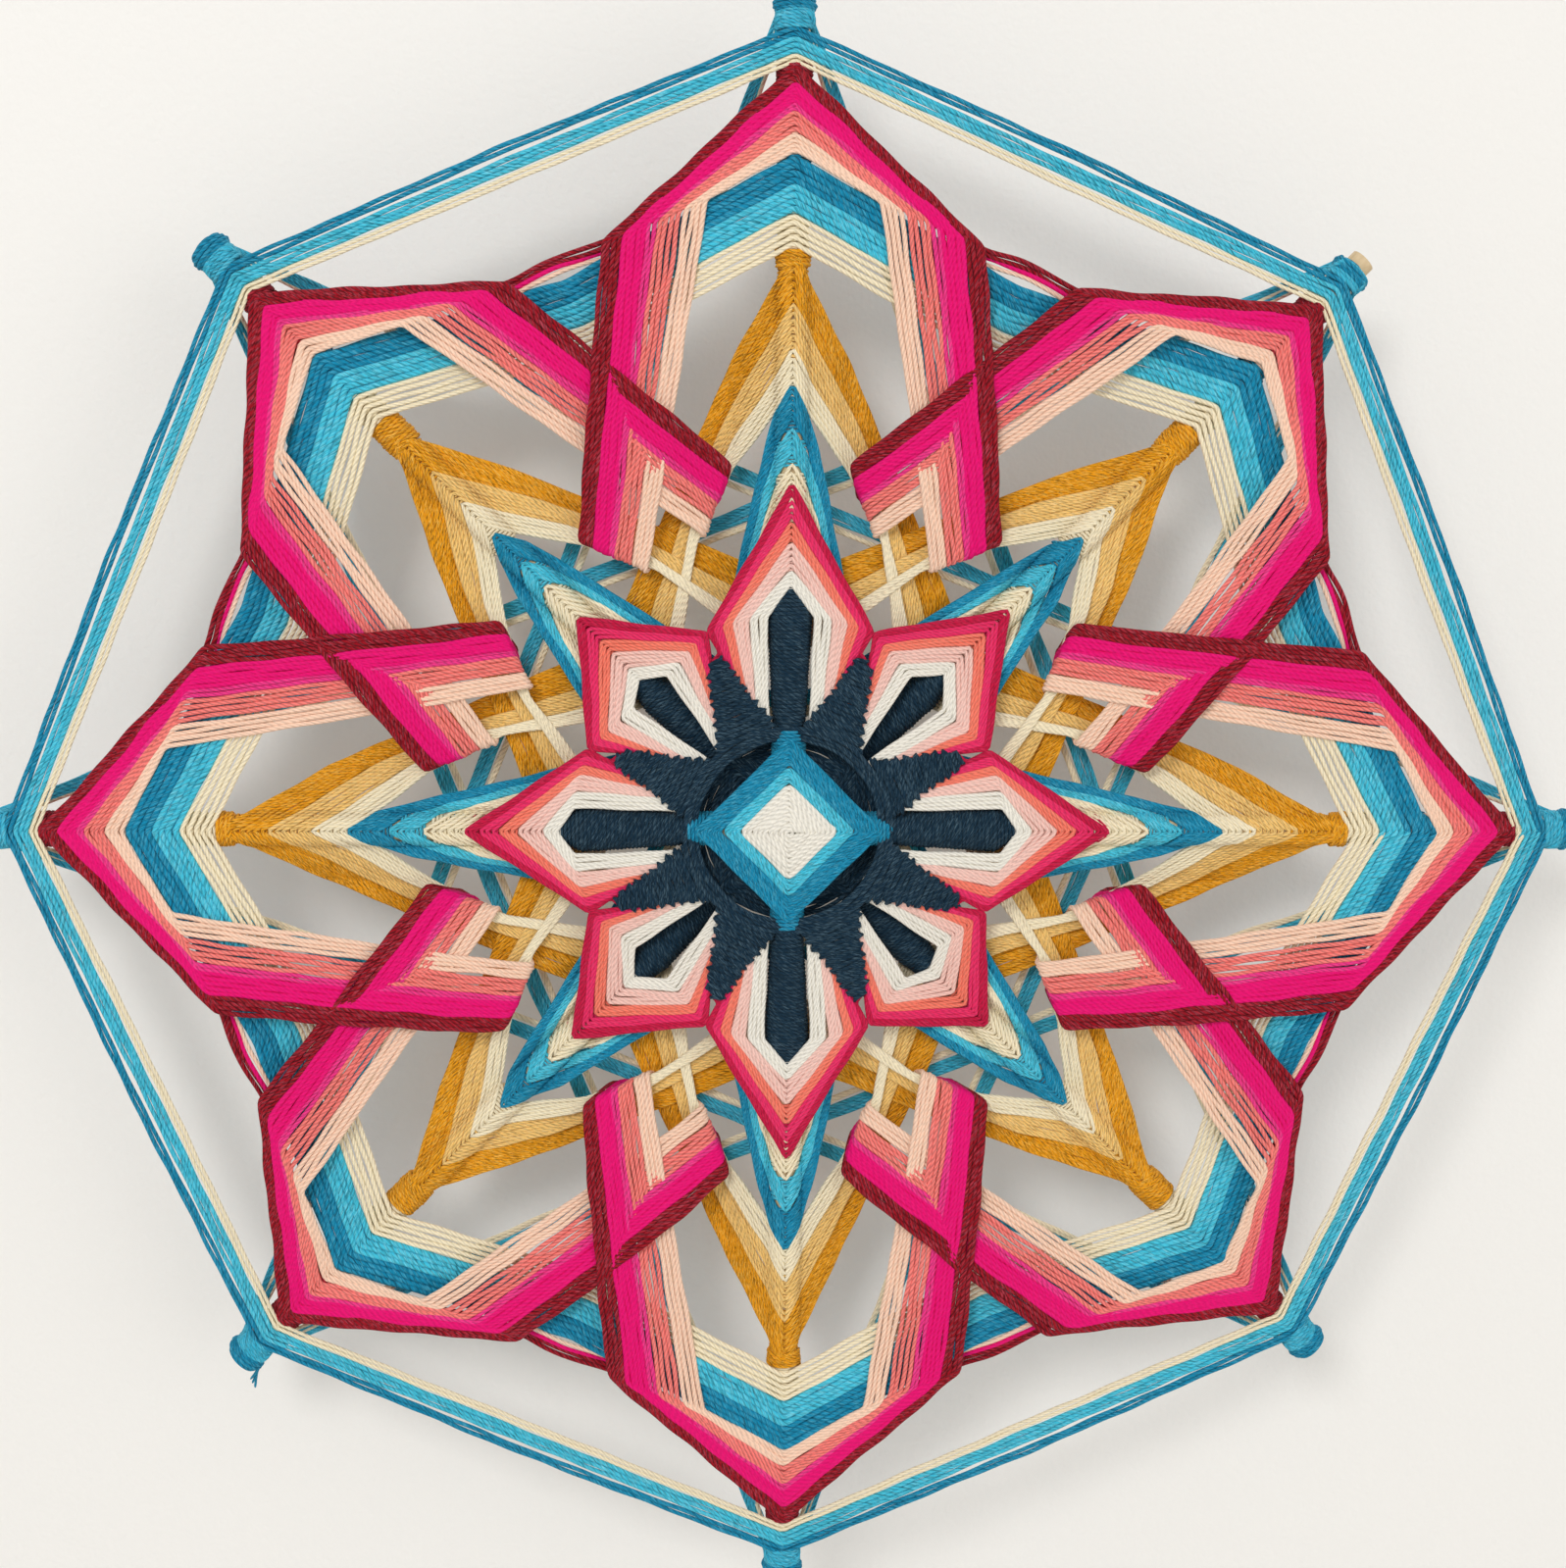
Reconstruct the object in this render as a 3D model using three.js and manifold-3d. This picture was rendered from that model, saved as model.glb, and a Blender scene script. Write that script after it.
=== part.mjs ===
// Eight-spoke wound-yarn mandala for a wall. Millimetres, +Z up, front towards -Y.
// The origin is on the axis of the mandala, midway between its two crosses of dowels.
import * as THREE from 'three';
import Module from 'manifold-3d';
import { mergeVertices } from 'three/addons/utils/BufferGeometryUtils.js';

const wasm = await Module();
wasm.setup();

// Dowels and general clearances
const DOWEL_DIAMETER = 8;
const DOWEL_LENGTH = 500;
const DOWEL_FACETS = 16;
const CLEARANCE = 0.3;
const BAND_THICKNESS = 1.0;
const LEVEL_GAP = 0.5;
const STRAND_GAP = 0.5;
const END_GAP = 0.9;

// Centre eyes, radii along the spokes they are wound on
const WHITE_EYE_RADIUS = 15.2;
const WHITE_EYE_TOP_RADIUS = 3.5;
const WHITE_EYE_HEIGHT = 3.2;
const LIGHT_EYE_WIDTH = 5.0;
const DARK_EYE_WIDTH = 8.2;
const REAR_EYE_START = 12;
const REAR_EYE_WIDTH = 18.2;

// Navy ring with its eight fingers, and the navy bars wrapped on the spokes
const WEB_INNER_RADIUS = 30.8;
const WEB_RING_WIDTH = 1.8;
const WEB_FINGER_ANGLE = 11.5;
const WEB_FINGER_TIP = 58;
const BAR_START = 33.2;
const BAR_FACETS = 12;
const BAR_ROOT_RADIUS = [5.5, 5.2];
const BAR_HEAD_RADIUS = [7.0, 6.0];
const BAR_HEAD_PLACE = [60, 54];
const BAR_TIP_RADIUS = 4.6;

// Flower: widths of its colours along a spoke, and where a strand kinks and ends beside it
const FLOWER_START = 71.3;
const FLOWER_WIDTHS = { white: 5.3, pale_pink: 8.4, coral: 6.0, rose: 5.8, crimson: 4.8 };
const FLOWER_DIAGONAL = 0.91;
const KINK_INNER = [67, 7.1];
const KINK_OUTER = [62, 24.2];
const TUCK_INNER = [32.7, 6.2];
const TUCK_OUTER = [53.9, 19.8];

// Spears: two four-pointed stars, tips on one cross and roots on the other
const SPEAR_WIDTHS = { cream: 10.6, light_blue: 10.2, dark_blue: 12.6 };
const SPEAR_DIAGONAL = 0.942;
const SPEAR_TIP_HALF_WIDTH = 4.7;
const SPEAR_COLOUR_GAP = 2.2;
const SPEAR_ROOT_INNER = 33;
const SPEAR_ROOT_OUTER = 39;

// Gold stars: the same on a larger scale, running behind the spokes at their roots
const GOLD_WIDTHS = { cream: 9.2, light_gold: 13.4, gold: 16.8 };
const GOLD_COLOUR_GAP = 1.7;
const GOLD_DIAGONAL = 0.965;
const GOLD_ROOT_INNER = 57;
const GOLD_ROOT_OUTER = 80;
const GOLD_BOW = 7;
const NECK_HALF_WIDTH = 5.2;

// Inner octagon and outer ring: each colour is a spiral of several loops
const OCTAGON_LOOPS = { cream: 5, light_blue: 4, dark_blue: 4 };
const OCTAGON_PITCH = 2.05;
const OCTAGON_PINCH = 0.886;
const TIE_WIDTH = 1.1;
const TIE_SHOULDER = [185.8, 17.7];
const TIE_MIDDLE = 187.2;
const RING_LOOPS = { cream: 2, light_blue: 3, dark_blue: 2 };
const RING_PITCH = 1.58;

// Large petals: widths of the colours, shoulders on the octagon, hooks beside the next spoke's gold
const PETAL_WIDTHS = { peach: 5.1, coral: 3.9, pink: 2.1, magenta: 5.9, crimson: 4.6 };
const PETAL_TIE_GAP = 1.3;
const SHOULDER_INNER = [189.3, 30.1];
const SHOULDER_OUTER = [177.5, 56.8];
const HOOK_INNER = [93, 22.6];
const HOOK_OUTER = [108, 18.6];

// Rear star of straight bands from tip to tip, three spokes on
const REAR_STAR_TIP_WIDTHS = { cream: 1.8, blue: 2.2 };
const REAR_STAR_TIP_GAP = 1.3;
const REAR_STAR_OFFSET = 91;
const REAR_STAR_WIDTHS = { cream: 2.3, blue: 5.6 };
const REAR_STAR_GAP = 1.0;
const REAR_STAR_FLAT = 122;

// Yarn caps on the dowel ends
const CAP_LENGTH = 4.2;
const CAP_RADIUS = 6.8;
const CAP_FACETS = 12;

// Derived sizes
const SPOKES = 8;
const STEP = Math.PI / 4;
const DOWEL_RADIUS = DOWEL_DIAMETER / 2;
const CROSS_OFFSET = (DOWEL_DIAMETER + CLEARANCE) / 2;
const HALF_BAND = BAND_THICKNESS / 2;
const LEVEL = BAND_THICKNESS + LEVEL_GAP;
const GAP_BETWEEN_COLOURS = STRAND_GAP;

const COLOURS = {
  wood: 0xd9c19a,
  white: 0xf0ebe1,
  pale_pink: 0xf5c3b9,
  coral: 0xfa826e,
  rose: 0xeb326e,
  crimson: 0x9b0528,
  flower_crimson: 0xc80a46,
  navy: 0x0a2d46,
  cream: 0xf0e1b9,
  light_blue: 0x3cb4d7,
  dark_blue: 0x0078a5,
  blue: 0x0a8cb9,
  light_gold: 0xe1b464,
  gold: 0xcd8c0f,
  peach: 0xfccdaf,
  pink: 0xf0328c,
  magenta: 0xeb0078,
};

const part = new THREE.Group();

function addMesh(name, geometry, colour, roughness = 0.9) {
  const material = new THREE.MeshStandardMaterial({ color: COLOURS[colour], roughness, metalness: 0 });
  const mesh = new THREE.Mesh(geometry, material);
  mesh.name = name;
  part.add(mesh);
  return mesh;
}

// Points and directions beside spoke k: along it, across it (to the next spoke) and forward
function direction(k, along, across, forward) {
  const angle = k * STEP;
  const x = along * Math.cos(angle) - across * Math.sin(angle);
  const z = along * Math.sin(angle) + across * Math.cos(angle);
  return new THREE.Vector3(x, -forward, z);
}
const place = direction;
const isDiagonal = (k) => ((Math.round(k) % 2) + 2) % 2;
const axisOf = (k) => (isDiagonal(k) ? -CROSS_OFFSET : CROSS_OFFSET);
const seatOf = (k) => axisOf(k) + DOWEL_RADIUS + CLEARANCE + HALF_BAND;
const mix = (a, b, t) => a + (b - a) * t;
const mixPair = (p, q, t) => [mix(p[0], q[0], t), mix(p[1], q[1], t)];
const SEAT_CARDINAL = seatOf(0);
const SEAT_DIAGONAL = seatOf(1);
const SEAT_MIDDLE = (SEAT_CARDINAL + SEAT_DIAGONAL) / 2;

// A list of [start, end] along the spoke for each colour of a layer
function stack(start, widths, gap = GAP_BETWEEN_COLOURS) {
  const spans = {};
  let from = start;
  for (const [colour, width] of Object.entries(widths)) {
    spans[colour] = [from, from + width - gap];
    from += width;
  }
  return { spans, start, end: from - gap, next: from };
}
const FLOWER = stack(FLOWER_START, FLOWER_WIDTHS);
const SPEAR = stack(FLOWER.next + CLEARANCE, SPEAR_WIDTHS, SPEAR_COLOUR_GAP);
const GOLD = stack(SPEAR.next, GOLD_WIDTHS, GOLD_COLOUR_GAP);
const PITCHES = (loops, pitch) => Object.values(loops).reduce((sum, count) => sum + count * pitch, 0);
const OCTAGON_SLOPE = (1 - OCTAGON_PINCH * Math.cos(STEP / 2)) / (OCTAGON_PINCH * Math.sin(STEP / 2));
const OCTAGON_START = GOLD.end + OCTAGON_PITCH + NECK_HALF_WIDTH * OCTAGON_SLOPE;
const OCTAGON_END = OCTAGON_START + PITCHES(OCTAGON_LOOPS, OCTAGON_PITCH);
const TIE_RADIUS = OCTAGON_END + (OCTAGON_PITCH + TIE_WIDTH) / 2;
const PETAL = stack(TIE_RADIUS + TIE_WIDTH / 2 + PETAL_TIE_GAP, PETAL_WIDTHS);
const RING_START = PETAL.next + RING_PITCH / 2;
const RING_END = RING_START + PITCHES(RING_LOOPS, RING_PITCH);
const REAR_STAR_TIPS = stack(RING_END + RING_PITCH / 2, REAR_STAR_TIP_WIDTHS, REAR_STAR_TIP_GAP);

// Solid with a four-sided section that follows stations, each with an inner and an outer edge point
// and a half-thickness vector. Its two ends are flat.
function loft(stations) {
  const positions = [];
  for (const { inner, outer, half } of stations) {
    const corners = [
      outer.clone().add(half),
      inner.clone().add(half),
      inner.clone().sub(half),
      outer.clone().sub(half),
    ];
    corners.forEach((corner) => positions.push(corner.x, corner.y, corner.z));
  }
  const index = [];
  const sides = 4;
  for (let i = 0; i + 1 < stations.length; i += 1) {
    for (let j = 0; j < sides; j += 1) {
      const a = i * sides + j;
      const b = i * sides + ((j + 1) % sides);
      index.push(a, b, a + sides, b, b + sides, a + sides);
    }
  }
  const last = (stations.length - 1) * sides;
  index.push(0, 2, 1, 0, 3, 2);
  index.push(last, last + 1, last + 2, last, last + 2, last + 3);
  let volume = 0;
  const [p, q, r] = [new THREE.Vector3(), new THREE.Vector3(), new THREE.Vector3()];
  for (let i = 0; i < index.length; i += 3) {
    p.fromArray(positions, index[i] * 3);
    q.fromArray(positions, index[i + 1] * 3);
    r.fromArray(positions, index[i + 2] * 3);
    volume += p.dot(q.clone().cross(r));
  }
  if (volume < 0) {
    for (let i = 0; i < index.length; i += 3) {
      [index[i + 1], index[i + 2]] = [index[i + 2], index[i + 1]];
    }
  }
  const geometry = new THREE.BufferGeometry();
  geometry.setAttribute('position', new THREE.Float32BufferAttribute(positions, 3));
  geometry.setIndex(index);
  geometry.computeVertexNormals();
  return geometry;
}

// Least distance of a winding to itself, between surface points at least NEAR apart along it
const SAMPLE = 3;
const NEAR = 14;
function leastGap(stations) {
  const cells = new Map();
  const cell = 3;
  const keyOf = (x, y, z) => `${Math.floor(x / cell)},${Math.floor(y / cell)},${Math.floor(z / cell)}`;
  let travelled = 0;
  let least = Infinity;
  for (let i = 0; i + 1 < stations.length; i += 1) {
    const [a, b] = [stations[i], stations[i + 1]];
    const length = a.outer.distanceTo(b.outer);
    const steps = Math.max(1, Math.round(length / SAMPLE));
    for (let s = 0; s < steps; s += 1) {
      const t = s / steps;
      const inner = a.inner.clone().lerp(b.inner, t);
      const outer = a.outer.clone().lerp(b.outer, t);
      const half = a.half.clone().lerp(b.half, t);
      for (const across of [0, 0.5, 1]) {
        for (const side of [-1, 1]) {
          const point = inner.clone().lerp(outer, across).addScaledVector(half, side);
          const along = travelled + length * t;
          for (let dx = -cell; dx <= cell; dx += cell) {
            for (let dy = -cell; dy <= cell; dy += cell) {
              for (let dz = -cell; dz <= cell; dz += cell) {
                const near = cells.get(keyOf(point.x + dx, point.y + dy, point.z + dz)) || [];
                for (const other of near) {
                  if (along - other.along > NEAR) least = Math.min(least, point.distanceTo(other.point));
                }
              }
            }
          }
          const key = keyOf(point.x, point.y, point.z);
          if (!cells.has(key)) cells.set(key, []);
          cells.get(key).push({ point, along });
        }
      }
    }
    travelled += length;
  }
  return least;
}

function addWinding(name, colour, stations) {
  const gap = leastGap(stations);
  const said = Number.isFinite(gap) ? `${gap.toFixed(2)} mm` : 'over 3 mm';
  console.log(`${name}: least gap to itself ${said}`);
  return addMesh(name, loft(stations), colour);
}

// Joins the routes of a band's inner and outer edge strands into stations
function stationsOf(route, inner, outer) {
  const near = route(inner);
  const far = route(outer);
  return near.map((station, i) => ({
    inner: station.point,
    outer: far[i].point,
    half: far[i].half.clone().multiplyScalar(HALF_BAND),
  }));
}
const FORWARD = direction(0, 0, 0, 1);

// A dowel lies along the spoke direction k. A half-lap at its middle keeps its front or its rear half.
function manifoldOf(geometry) {
  const bare = geometry.clone();
  bare.deleteAttribute('normal');
  bare.deleteAttribute('uv');
  const merged = mergeVertices(bare, 1e-4);
  const mesh = new wasm.Mesh({
    numProp: 3,
    vertProperties: Float32Array.from(merged.attributes.position.array),
    triVerts: Uint32Array.from(merged.index.array),
  });
  return new wasm.Manifold(mesh);
}
function geometryOf(solid) {
  const mesh = solid.getMesh();
  const geometry = new THREE.BufferGeometry();
  geometry.setAttribute('position', new THREE.Float32BufferAttribute(mesh.vertProperties, 3));
  geometry.setIndex(Array.from(mesh.triVerts));
  geometry.computeVertexNormals();
  return geometry;
}
function addDowel(name, k, keepsFront) {
  const rod = new THREE.CylinderGeometry(DOWEL_RADIUS, DOWEL_RADIUS, DOWEL_LENGTH, DOWEL_FACETS);
  rod.rotateZ(-Math.PI / 2);
  const lapLength = DOWEL_DIAMETER + 2 * CLEARANCE;
  const lapDepth = DOWEL_DIAMETER;
  const lap = new THREE.BoxGeometry(lapLength, lapDepth, 2 * DOWEL_DIAMETER);
  const towards = keepsFront ? 1 : -1;
  lap.translate(0, towards * (lapDepth / 2 - CLEARANCE / 2), 0);
  const geometry = geometryOf(manifoldOf(rod).subtract(manifoldOf(lap)));
  const mesh = addMesh(name, geometry, 'wood', 0.7);
  mesh.rotation.y = -k * STEP;
  mesh.position.y = -axisOf(k);
}
addDowel('dowel_horizontal', 0, false);
addDowel('dowel_vertical', 2, true);
addDowel('dowel_rising', 1, false);
addDowel('dowel_falling', 3, true);

// A turned sleeve round a spoke, from a profile of [along, radius] pairs round its wall
function addSleeve(name, k, colour, profile, facets) {
  const points = profile.map(([along, radius]) => new THREE.Vector2(radius, along)).reverse();
  points.push(points[0].clone());
  const sleeve = new THREE.LatheGeometry(points, facets);
  sleeve.rotateZ(-Math.PI / 2);
  sleeve.rotateX(Math.PI / facets);
  const mesh = addMesh(name, geometryOf(manifoldOf(sleeve)), colour);
  mesh.rotation.y = -k * STEP;
  mesh.position.y = -axisOf(k);
}
const bore = (DOWEL_RADIUS + CLEARANCE) / Math.cos(Math.PI / BAR_FACETS);
const flowerScale = (k) => (isDiagonal(k) ? FLOWER_DIAGONAL : 1);
const barEnd = (k) => FLOWER.start * flowerScale(k) - 3 * GAP_BETWEEN_COLOURS;
for (let k = 0; k < SPOKES; k += 1) {
  const d = isDiagonal(k);
  const tip = Math.max(BAR_TIP_RADIUS, bore + CLEARANCE);
  addSleeve(`bar_navy_${k + 1}`, k, 'navy', [
    [BAR_START, bore],
    [barEnd(k), bore],
    [barEnd(k), tip],
    [BAR_HEAD_PLACE[d], BAR_HEAD_RADIUS[d]],
    [BAR_START, BAR_ROOT_RADIUS[d]],
  ], BAR_FACETS);
  const capStart = DOWEL_LENGTH / 2 - CLEARANCE - CAP_LENGTH;
  const capEnd = DOWEL_LENGTH / 2 - CLEARANCE;
  const capShoulder = CAP_LENGTH / 4;
  const capLip = (bore + CAP_RADIUS) / 2;
  addSleeve(`cap_blue_${k + 1}`, k, 'dark_blue', [
    [capStart, bore],
    [capEnd, bore],
    [capEnd, capLip],
    [capEnd - capShoulder, CAP_RADIUS],
    [capStart + capShoulder, CAP_RADIUS],
    [capStart, capLip],
  ], CAP_FACETS);
}
const barRadius = (k, along) => {
  const d = isDiagonal(k);
  const share = (along - BAR_START) / (BAR_HEAD_PLACE[d] - BAR_START);
  return mix(BAR_ROOT_RADIUS[d], BAR_HEAD_RADIUS[d], share);
};
const behindBar = (k) => axisOf(k) - BAR_HEAD_RADIUS[isDiagonal(k)] - CLEARANCE - HALF_BAND;

// Bands wound round four spokes in a square: the coloured rings of the front eye
function squareBand(name, colour, from, to) {
  const route = (radius) => {
    const list = [];
    for (let k = 0; k <= SPOKES; k += 2) {
      const across = k === 0 ? END_GAP / 2 : k === SPOKES ? -END_GAP / 2 : 0;
      list.push({ point: place(k, radius - Math.abs(across), across, SEAT_CARDINAL), half: FORWARD });
    }
    return list;
  };
  addWinding(name, colour, stationsOf(route, from, to));
}
const whiteEye = new THREE.CylinderGeometry(WHITE_EYE_TOP_RADIUS, WHITE_EYE_RADIUS, WHITE_EYE_HEIGHT, 4);
whiteEye.rotateX(Math.PI);
const white = addMesh('eye_white', geometryOf(manifoldOf(whiteEye)), 'white');
white.position.y = -(CROSS_OFFSET + DOWEL_RADIUS + CLEARANCE + WHITE_EYE_HEIGHT / 2);
const LIGHT_EYE_START = WHITE_EYE_RADIUS + GAP_BETWEEN_COLOURS;
const DARK_EYE_START = LIGHT_EYE_START + LIGHT_EYE_WIDTH + GAP_BETWEEN_COLOURS;
squareBand('eye_light_blue', 'light_blue', LIGHT_EYE_START, LIGHT_EYE_START + LIGHT_EYE_WIDTH);
squareBand('eye_dark_blue', 'dark_blue', DARK_EYE_START, DARK_EYE_START + DARK_EYE_WIDTH);

// The rear eye passes in front of the diagonal dowels and behind the upright cross
const rearEyeRoute = (radius) => {
  const list = [];
  const behind = axisOf(0) - DOWEL_RADIUS - CLEARANCE - HALF_BAND;
  for (let k = 1; k <= SPOKES + 1; k += 1) {
    const onDowel = isDiagonal(k);
    const across = k === 1 ? END_GAP / 2 : k === SPOKES + 1 ? -END_GAP / 2 : 0;
    const along = onDowel ? radius - Math.abs(across) : radius * Math.cos(STEP);
    list.push({ point: place(k, along, across, onDowel ? SEAT_DIAGONAL : behind), half: FORWARD });
  }
  return list;
};
addWinding('eye_rear_navy', 'navy', stationsOf(rearEyeRoute, REAR_EYE_START, REAR_EYE_START + REAR_EYE_WIDTH));

// Navy ring at the hub with a finger between each two petals
const webOutline = new THREE.Shape();
const webRadius = WEB_INNER_RADIUS + WEB_RING_WIDTH;
const fingerHalf = THREE.MathUtils.degToRad(WEB_FINGER_ANGLE);
for (let k = 0; k < SPOKES; k += 1) {
  const middle = (k + 0.5) * STEP;
  const corners = [[webRadius, middle - fingerHalf], [WEB_FINGER_TIP, middle], [webRadius, middle + fingerHalf]];
  corners.forEach(([radius, angle], i) => {
    const [x, y] = [radius * Math.cos(angle), radius * Math.sin(angle)];
    if (k === 0 && i === 0) webOutline.moveTo(x, y);
    else webOutline.lineTo(x, y);
  });
}
webOutline.closePath();
const webHole = new THREE.Path();
for (let k = 0; k < 2 * SPOKES; k += 1) {
  const angle = (k + 0.5) * STEP / 2;
  const [x, y] = [WEB_INNER_RADIUS * Math.cos(angle), WEB_INNER_RADIUS * Math.sin(angle)];
  if (k === 0) webHole.moveTo(x, y);
  else webHole.lineTo(x, y);
}
webHole.closePath();
webOutline.holes.push(webHole);
const web = new THREE.ExtrudeGeometry(webOutline, { depth: BAND_THICKNESS, bevelEnabled: false });
web.rotateX(Math.PI / 2);
const webMesh = addMesh('web_navy', geometryOf(manifoldOf(web)), 'navy');
const WEB_FRONT = SEAT_CARDINAL + HALF_BAND;
webMesh.position.y = -(WEB_FRONT - BAND_THICKNESS);

// Flower: apex on the spoke, kink at the shoulder, then in to the hub under the navy ring
const TUCK_LEVEL = SEAT_CARDINAL - LEVEL - HALF_BAND;
const flowerRoute = (radius) => {
  const share = (radius - FLOWER.start) / (FLOWER.end - FLOWER.start);
  const list = [];
  const side = (k, sign) => {
    const scale = mix(flowerScale(k), 1, share);
    const kink = mixPair(KINK_INNER, KINK_OUTER, share);
    const tuck = mixPair(TUCK_INNER, TUCK_OUTER, share);
    const low = mix(seatOf(k), SEAT_CARDINAL, 0.4);
    return {
      kink: { point: place(k, kink[0] * scale, sign * kink[1], mix(low, SEAT_CARDINAL, share)), half: FORWARD },
      tuck: { point: place(k, tuck[0], sign * tuck[1], TUCK_LEVEL), half: FORWARD },
    };
  };
  for (let k = 0; k <= SPOKES; k += 1) {
    const across = k === 0 ? END_GAP / 2 : k === SPOKES ? -END_GAP / 2 : 0;
    const apex = { point: place(k, radius * flowerScale(k), across, seatOf(k)), half: FORWARD };
    if (k > 0) list.push(side(k, -1).tuck, side(k, -1).kink);
    list.push(apex);
    if (k < SPOKES) list.push(side(k, 1).kink, side(k, 1).tuck);
  }
  return list;
};
for (const [colour, [from, to]] of Object.entries(FLOWER.spans)) {
  const paint = colour === 'crimson' ? 'flower_crimson' : colour;
  addWinding(`flower_${colour}`, paint, stationsOf(flowerRoute, from, to));
}

// Stations across the front of a spoke at the tip of a star. The first and last tip hold the ends.
const TIP_ARRIVE = -1;
const TIP_LEAVE = 1;
function tipStations(k, radius, halfWidth, first, last, drops = false) {
  const corner = (sign) => ({
    point: place(k, radius, sign * halfWidth, seatOf(k)),
    half: FORWARD.clone().add(direction(k, 0, sign, 0)),
  });
  const end = (sign) => ({ point: place(k, radius, sign * END_GAP / 2, seatOf(k)), half: FORWARD });
  const side = (sign) => ({
    point: place(k, radius, sign * (halfWidth + CLEARANCE), axisOf(k) - DOWEL_RADIUS),
    half: FORWARD.clone().add(direction(k, 0, sign, 0)),
  });
  const arrive = drops ? [side(TIP_ARRIVE), corner(TIP_ARRIVE)] : [corner(TIP_ARRIVE)];
  const leave = drops ? [corner(TIP_LEAVE), side(TIP_LEAVE)] : [corner(TIP_LEAVE)];
  if (first) return [end(TIP_LEAVE), ...leave];
  if (last) return [...arrive, end(TIP_ARRIVE)];
  return [...arrive, ...leave];
}
// Point of a star's edge beside spoke k at a share of the way from its tip to its root
function edgePoint(k, sign, radius, halfWidth, root, { share, level, bow = 0 }) {
  const reach = root * Math.cos(STEP);
  const length = Math.hypot(radius - reach, reach - halfWidth);
  const along = mix(radius, reach, share) + bow * (reach - halfWidth) / length;
  const across = mix(halfWidth, reach, share) + bow * (radius - reach) / length;
  return { point: place(k, along, sign * across, level), half: FORWARD };
}
function fourPointStar(parity, radius, halfWidth, root, inner, rootLevel) {
  const list = [];
  for (let k = parity; k <= parity + SPOKES; k += 2) {
    const first = k === parity;
    const last = k === parity + SPOKES;
    if (!first) {
      const arriving = inner.map((spot) => edgePoint(k, -1, radius, halfWidth, root, spot));
      list.push(...arriving.reverse());
    }
    list.push(...tipStations(k, radius, halfWidth, first, last));
    if (!last) {
      list.push(...inner.map((spot) => edgePoint(k, 1, radius, halfWidth, root, spot)));
      list.push({ point: place(k + 1, root, 0, rootLevel), half: FORWARD });
    }
  }
  return list;
}
const CROSSES = ['upright', 'diagonal'];

// Spears: each cross roots behind the bars of the other, and passes in front of the gold on its way
const SPEAR_DROP_SHARE = 0.15;
const SPEAR_DIVE_SHARE = [0.6, 0.75];
for (const parity of [0, 1]) {
  const scale = parity ? SPEAR_DIAGONAL : 1;
  const rootSpoke = parity + 1;
  const rootRadius = Math.max(barRadius(rootSpoke, SPEAR_ROOT_OUTER), barRadius(rootSpoke, SPEAR_ROOT_INNER));
  const rootLevel = axisOf(rootSpoke) - rootRadius - CLEARANCE - HALF_BAND;
  const dropLevel = parity ? SEAT_DIAGONAL : SEAT_CARDINAL - 2 * LEVEL;
  const diveLevel = parity ? SEAT_DIAGONAL : SEAT_DIAGONAL - LEVEL - CLEARANCE;
  const inner = [
    { share: SPEAR_DROP_SHARE, level: dropLevel },
    { share: SPEAR_DIVE_SHARE[parity], level: diveLevel },
  ];
  const route = (radius) => {
    const share = (radius - SPEAR.start) / (SPEAR.end - SPEAR.start);
    const root = mix(SPEAR_ROOT_INNER, SPEAR_ROOT_OUTER, share);
    return fourPointStar(parity, radius * scale, SPEAR_TIP_HALF_WIDTH, root, inner, rootLevel);
  };
  for (const [colour, [from, to]] of Object.entries(SPEAR.spans)) {
    addWinding(`spear_${CROSSES[parity]}_${colour}`, colour, stationsOf(route, from, to));
  }
}

// Gold stars: both pass behind the roots of the other cross, the upright one behind the diagonal one.
// The hooks of the large petals draw the inner strands outwards.
const GOLD_DROP_SHARE = 0.25;
const GOLD_DROP_BOW = 0.6;
const GOLD_BOW_SHARE = 0.5;
const GOLD_RISE_SHARE = 0.85;
const goldScale = (k) => (isDiagonal(k) ? GOLD_DIAGONAL : 1);
const goldShare = (radius) => (radius - GOLD.start) / (GOLD.end - GOLD.start);
const DIAGONAL_GOLD_LEVEL = behindBar(0);
const UPRIGHT_GOLD_LEVEL = DIAGONAL_GOLD_LEVEL - LEVEL;
for (const parity of [0, 1]) {
  const level = parity ? DIAGONAL_GOLD_LEVEL : UPRIGHT_GOLD_LEVEL;
  const rootLevel = parity ? DIAGONAL_GOLD_LEVEL : behindBar(1);
  const scale = goldScale(parity);
  const route = (radius) => {
    const bow = mix(GOLD_BOW, 0, goldShare(radius)) * scale;
    const root = mix(GOLD_ROOT_INNER, GOLD_ROOT_OUTER, goldShare(radius)) * scale;
    const inner = [
      { share: GOLD_DROP_SHARE, level, bow: bow * GOLD_DROP_BOW },
      { share: GOLD_BOW_SHARE, level, bow },
      { share: GOLD_RISE_SHARE, level },
    ];
    return fourPointStar(parity, radius * scale, NECK_HALF_WIDTH, root, inner, rootLevel);
  };
  for (const [colour, [from, to]] of Object.entries(GOLD.spans)) {
    addWinding(`gold_${CROSSES[parity]}_${colour}`, colour, stationsOf(route, from, to));
  }
}

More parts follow.
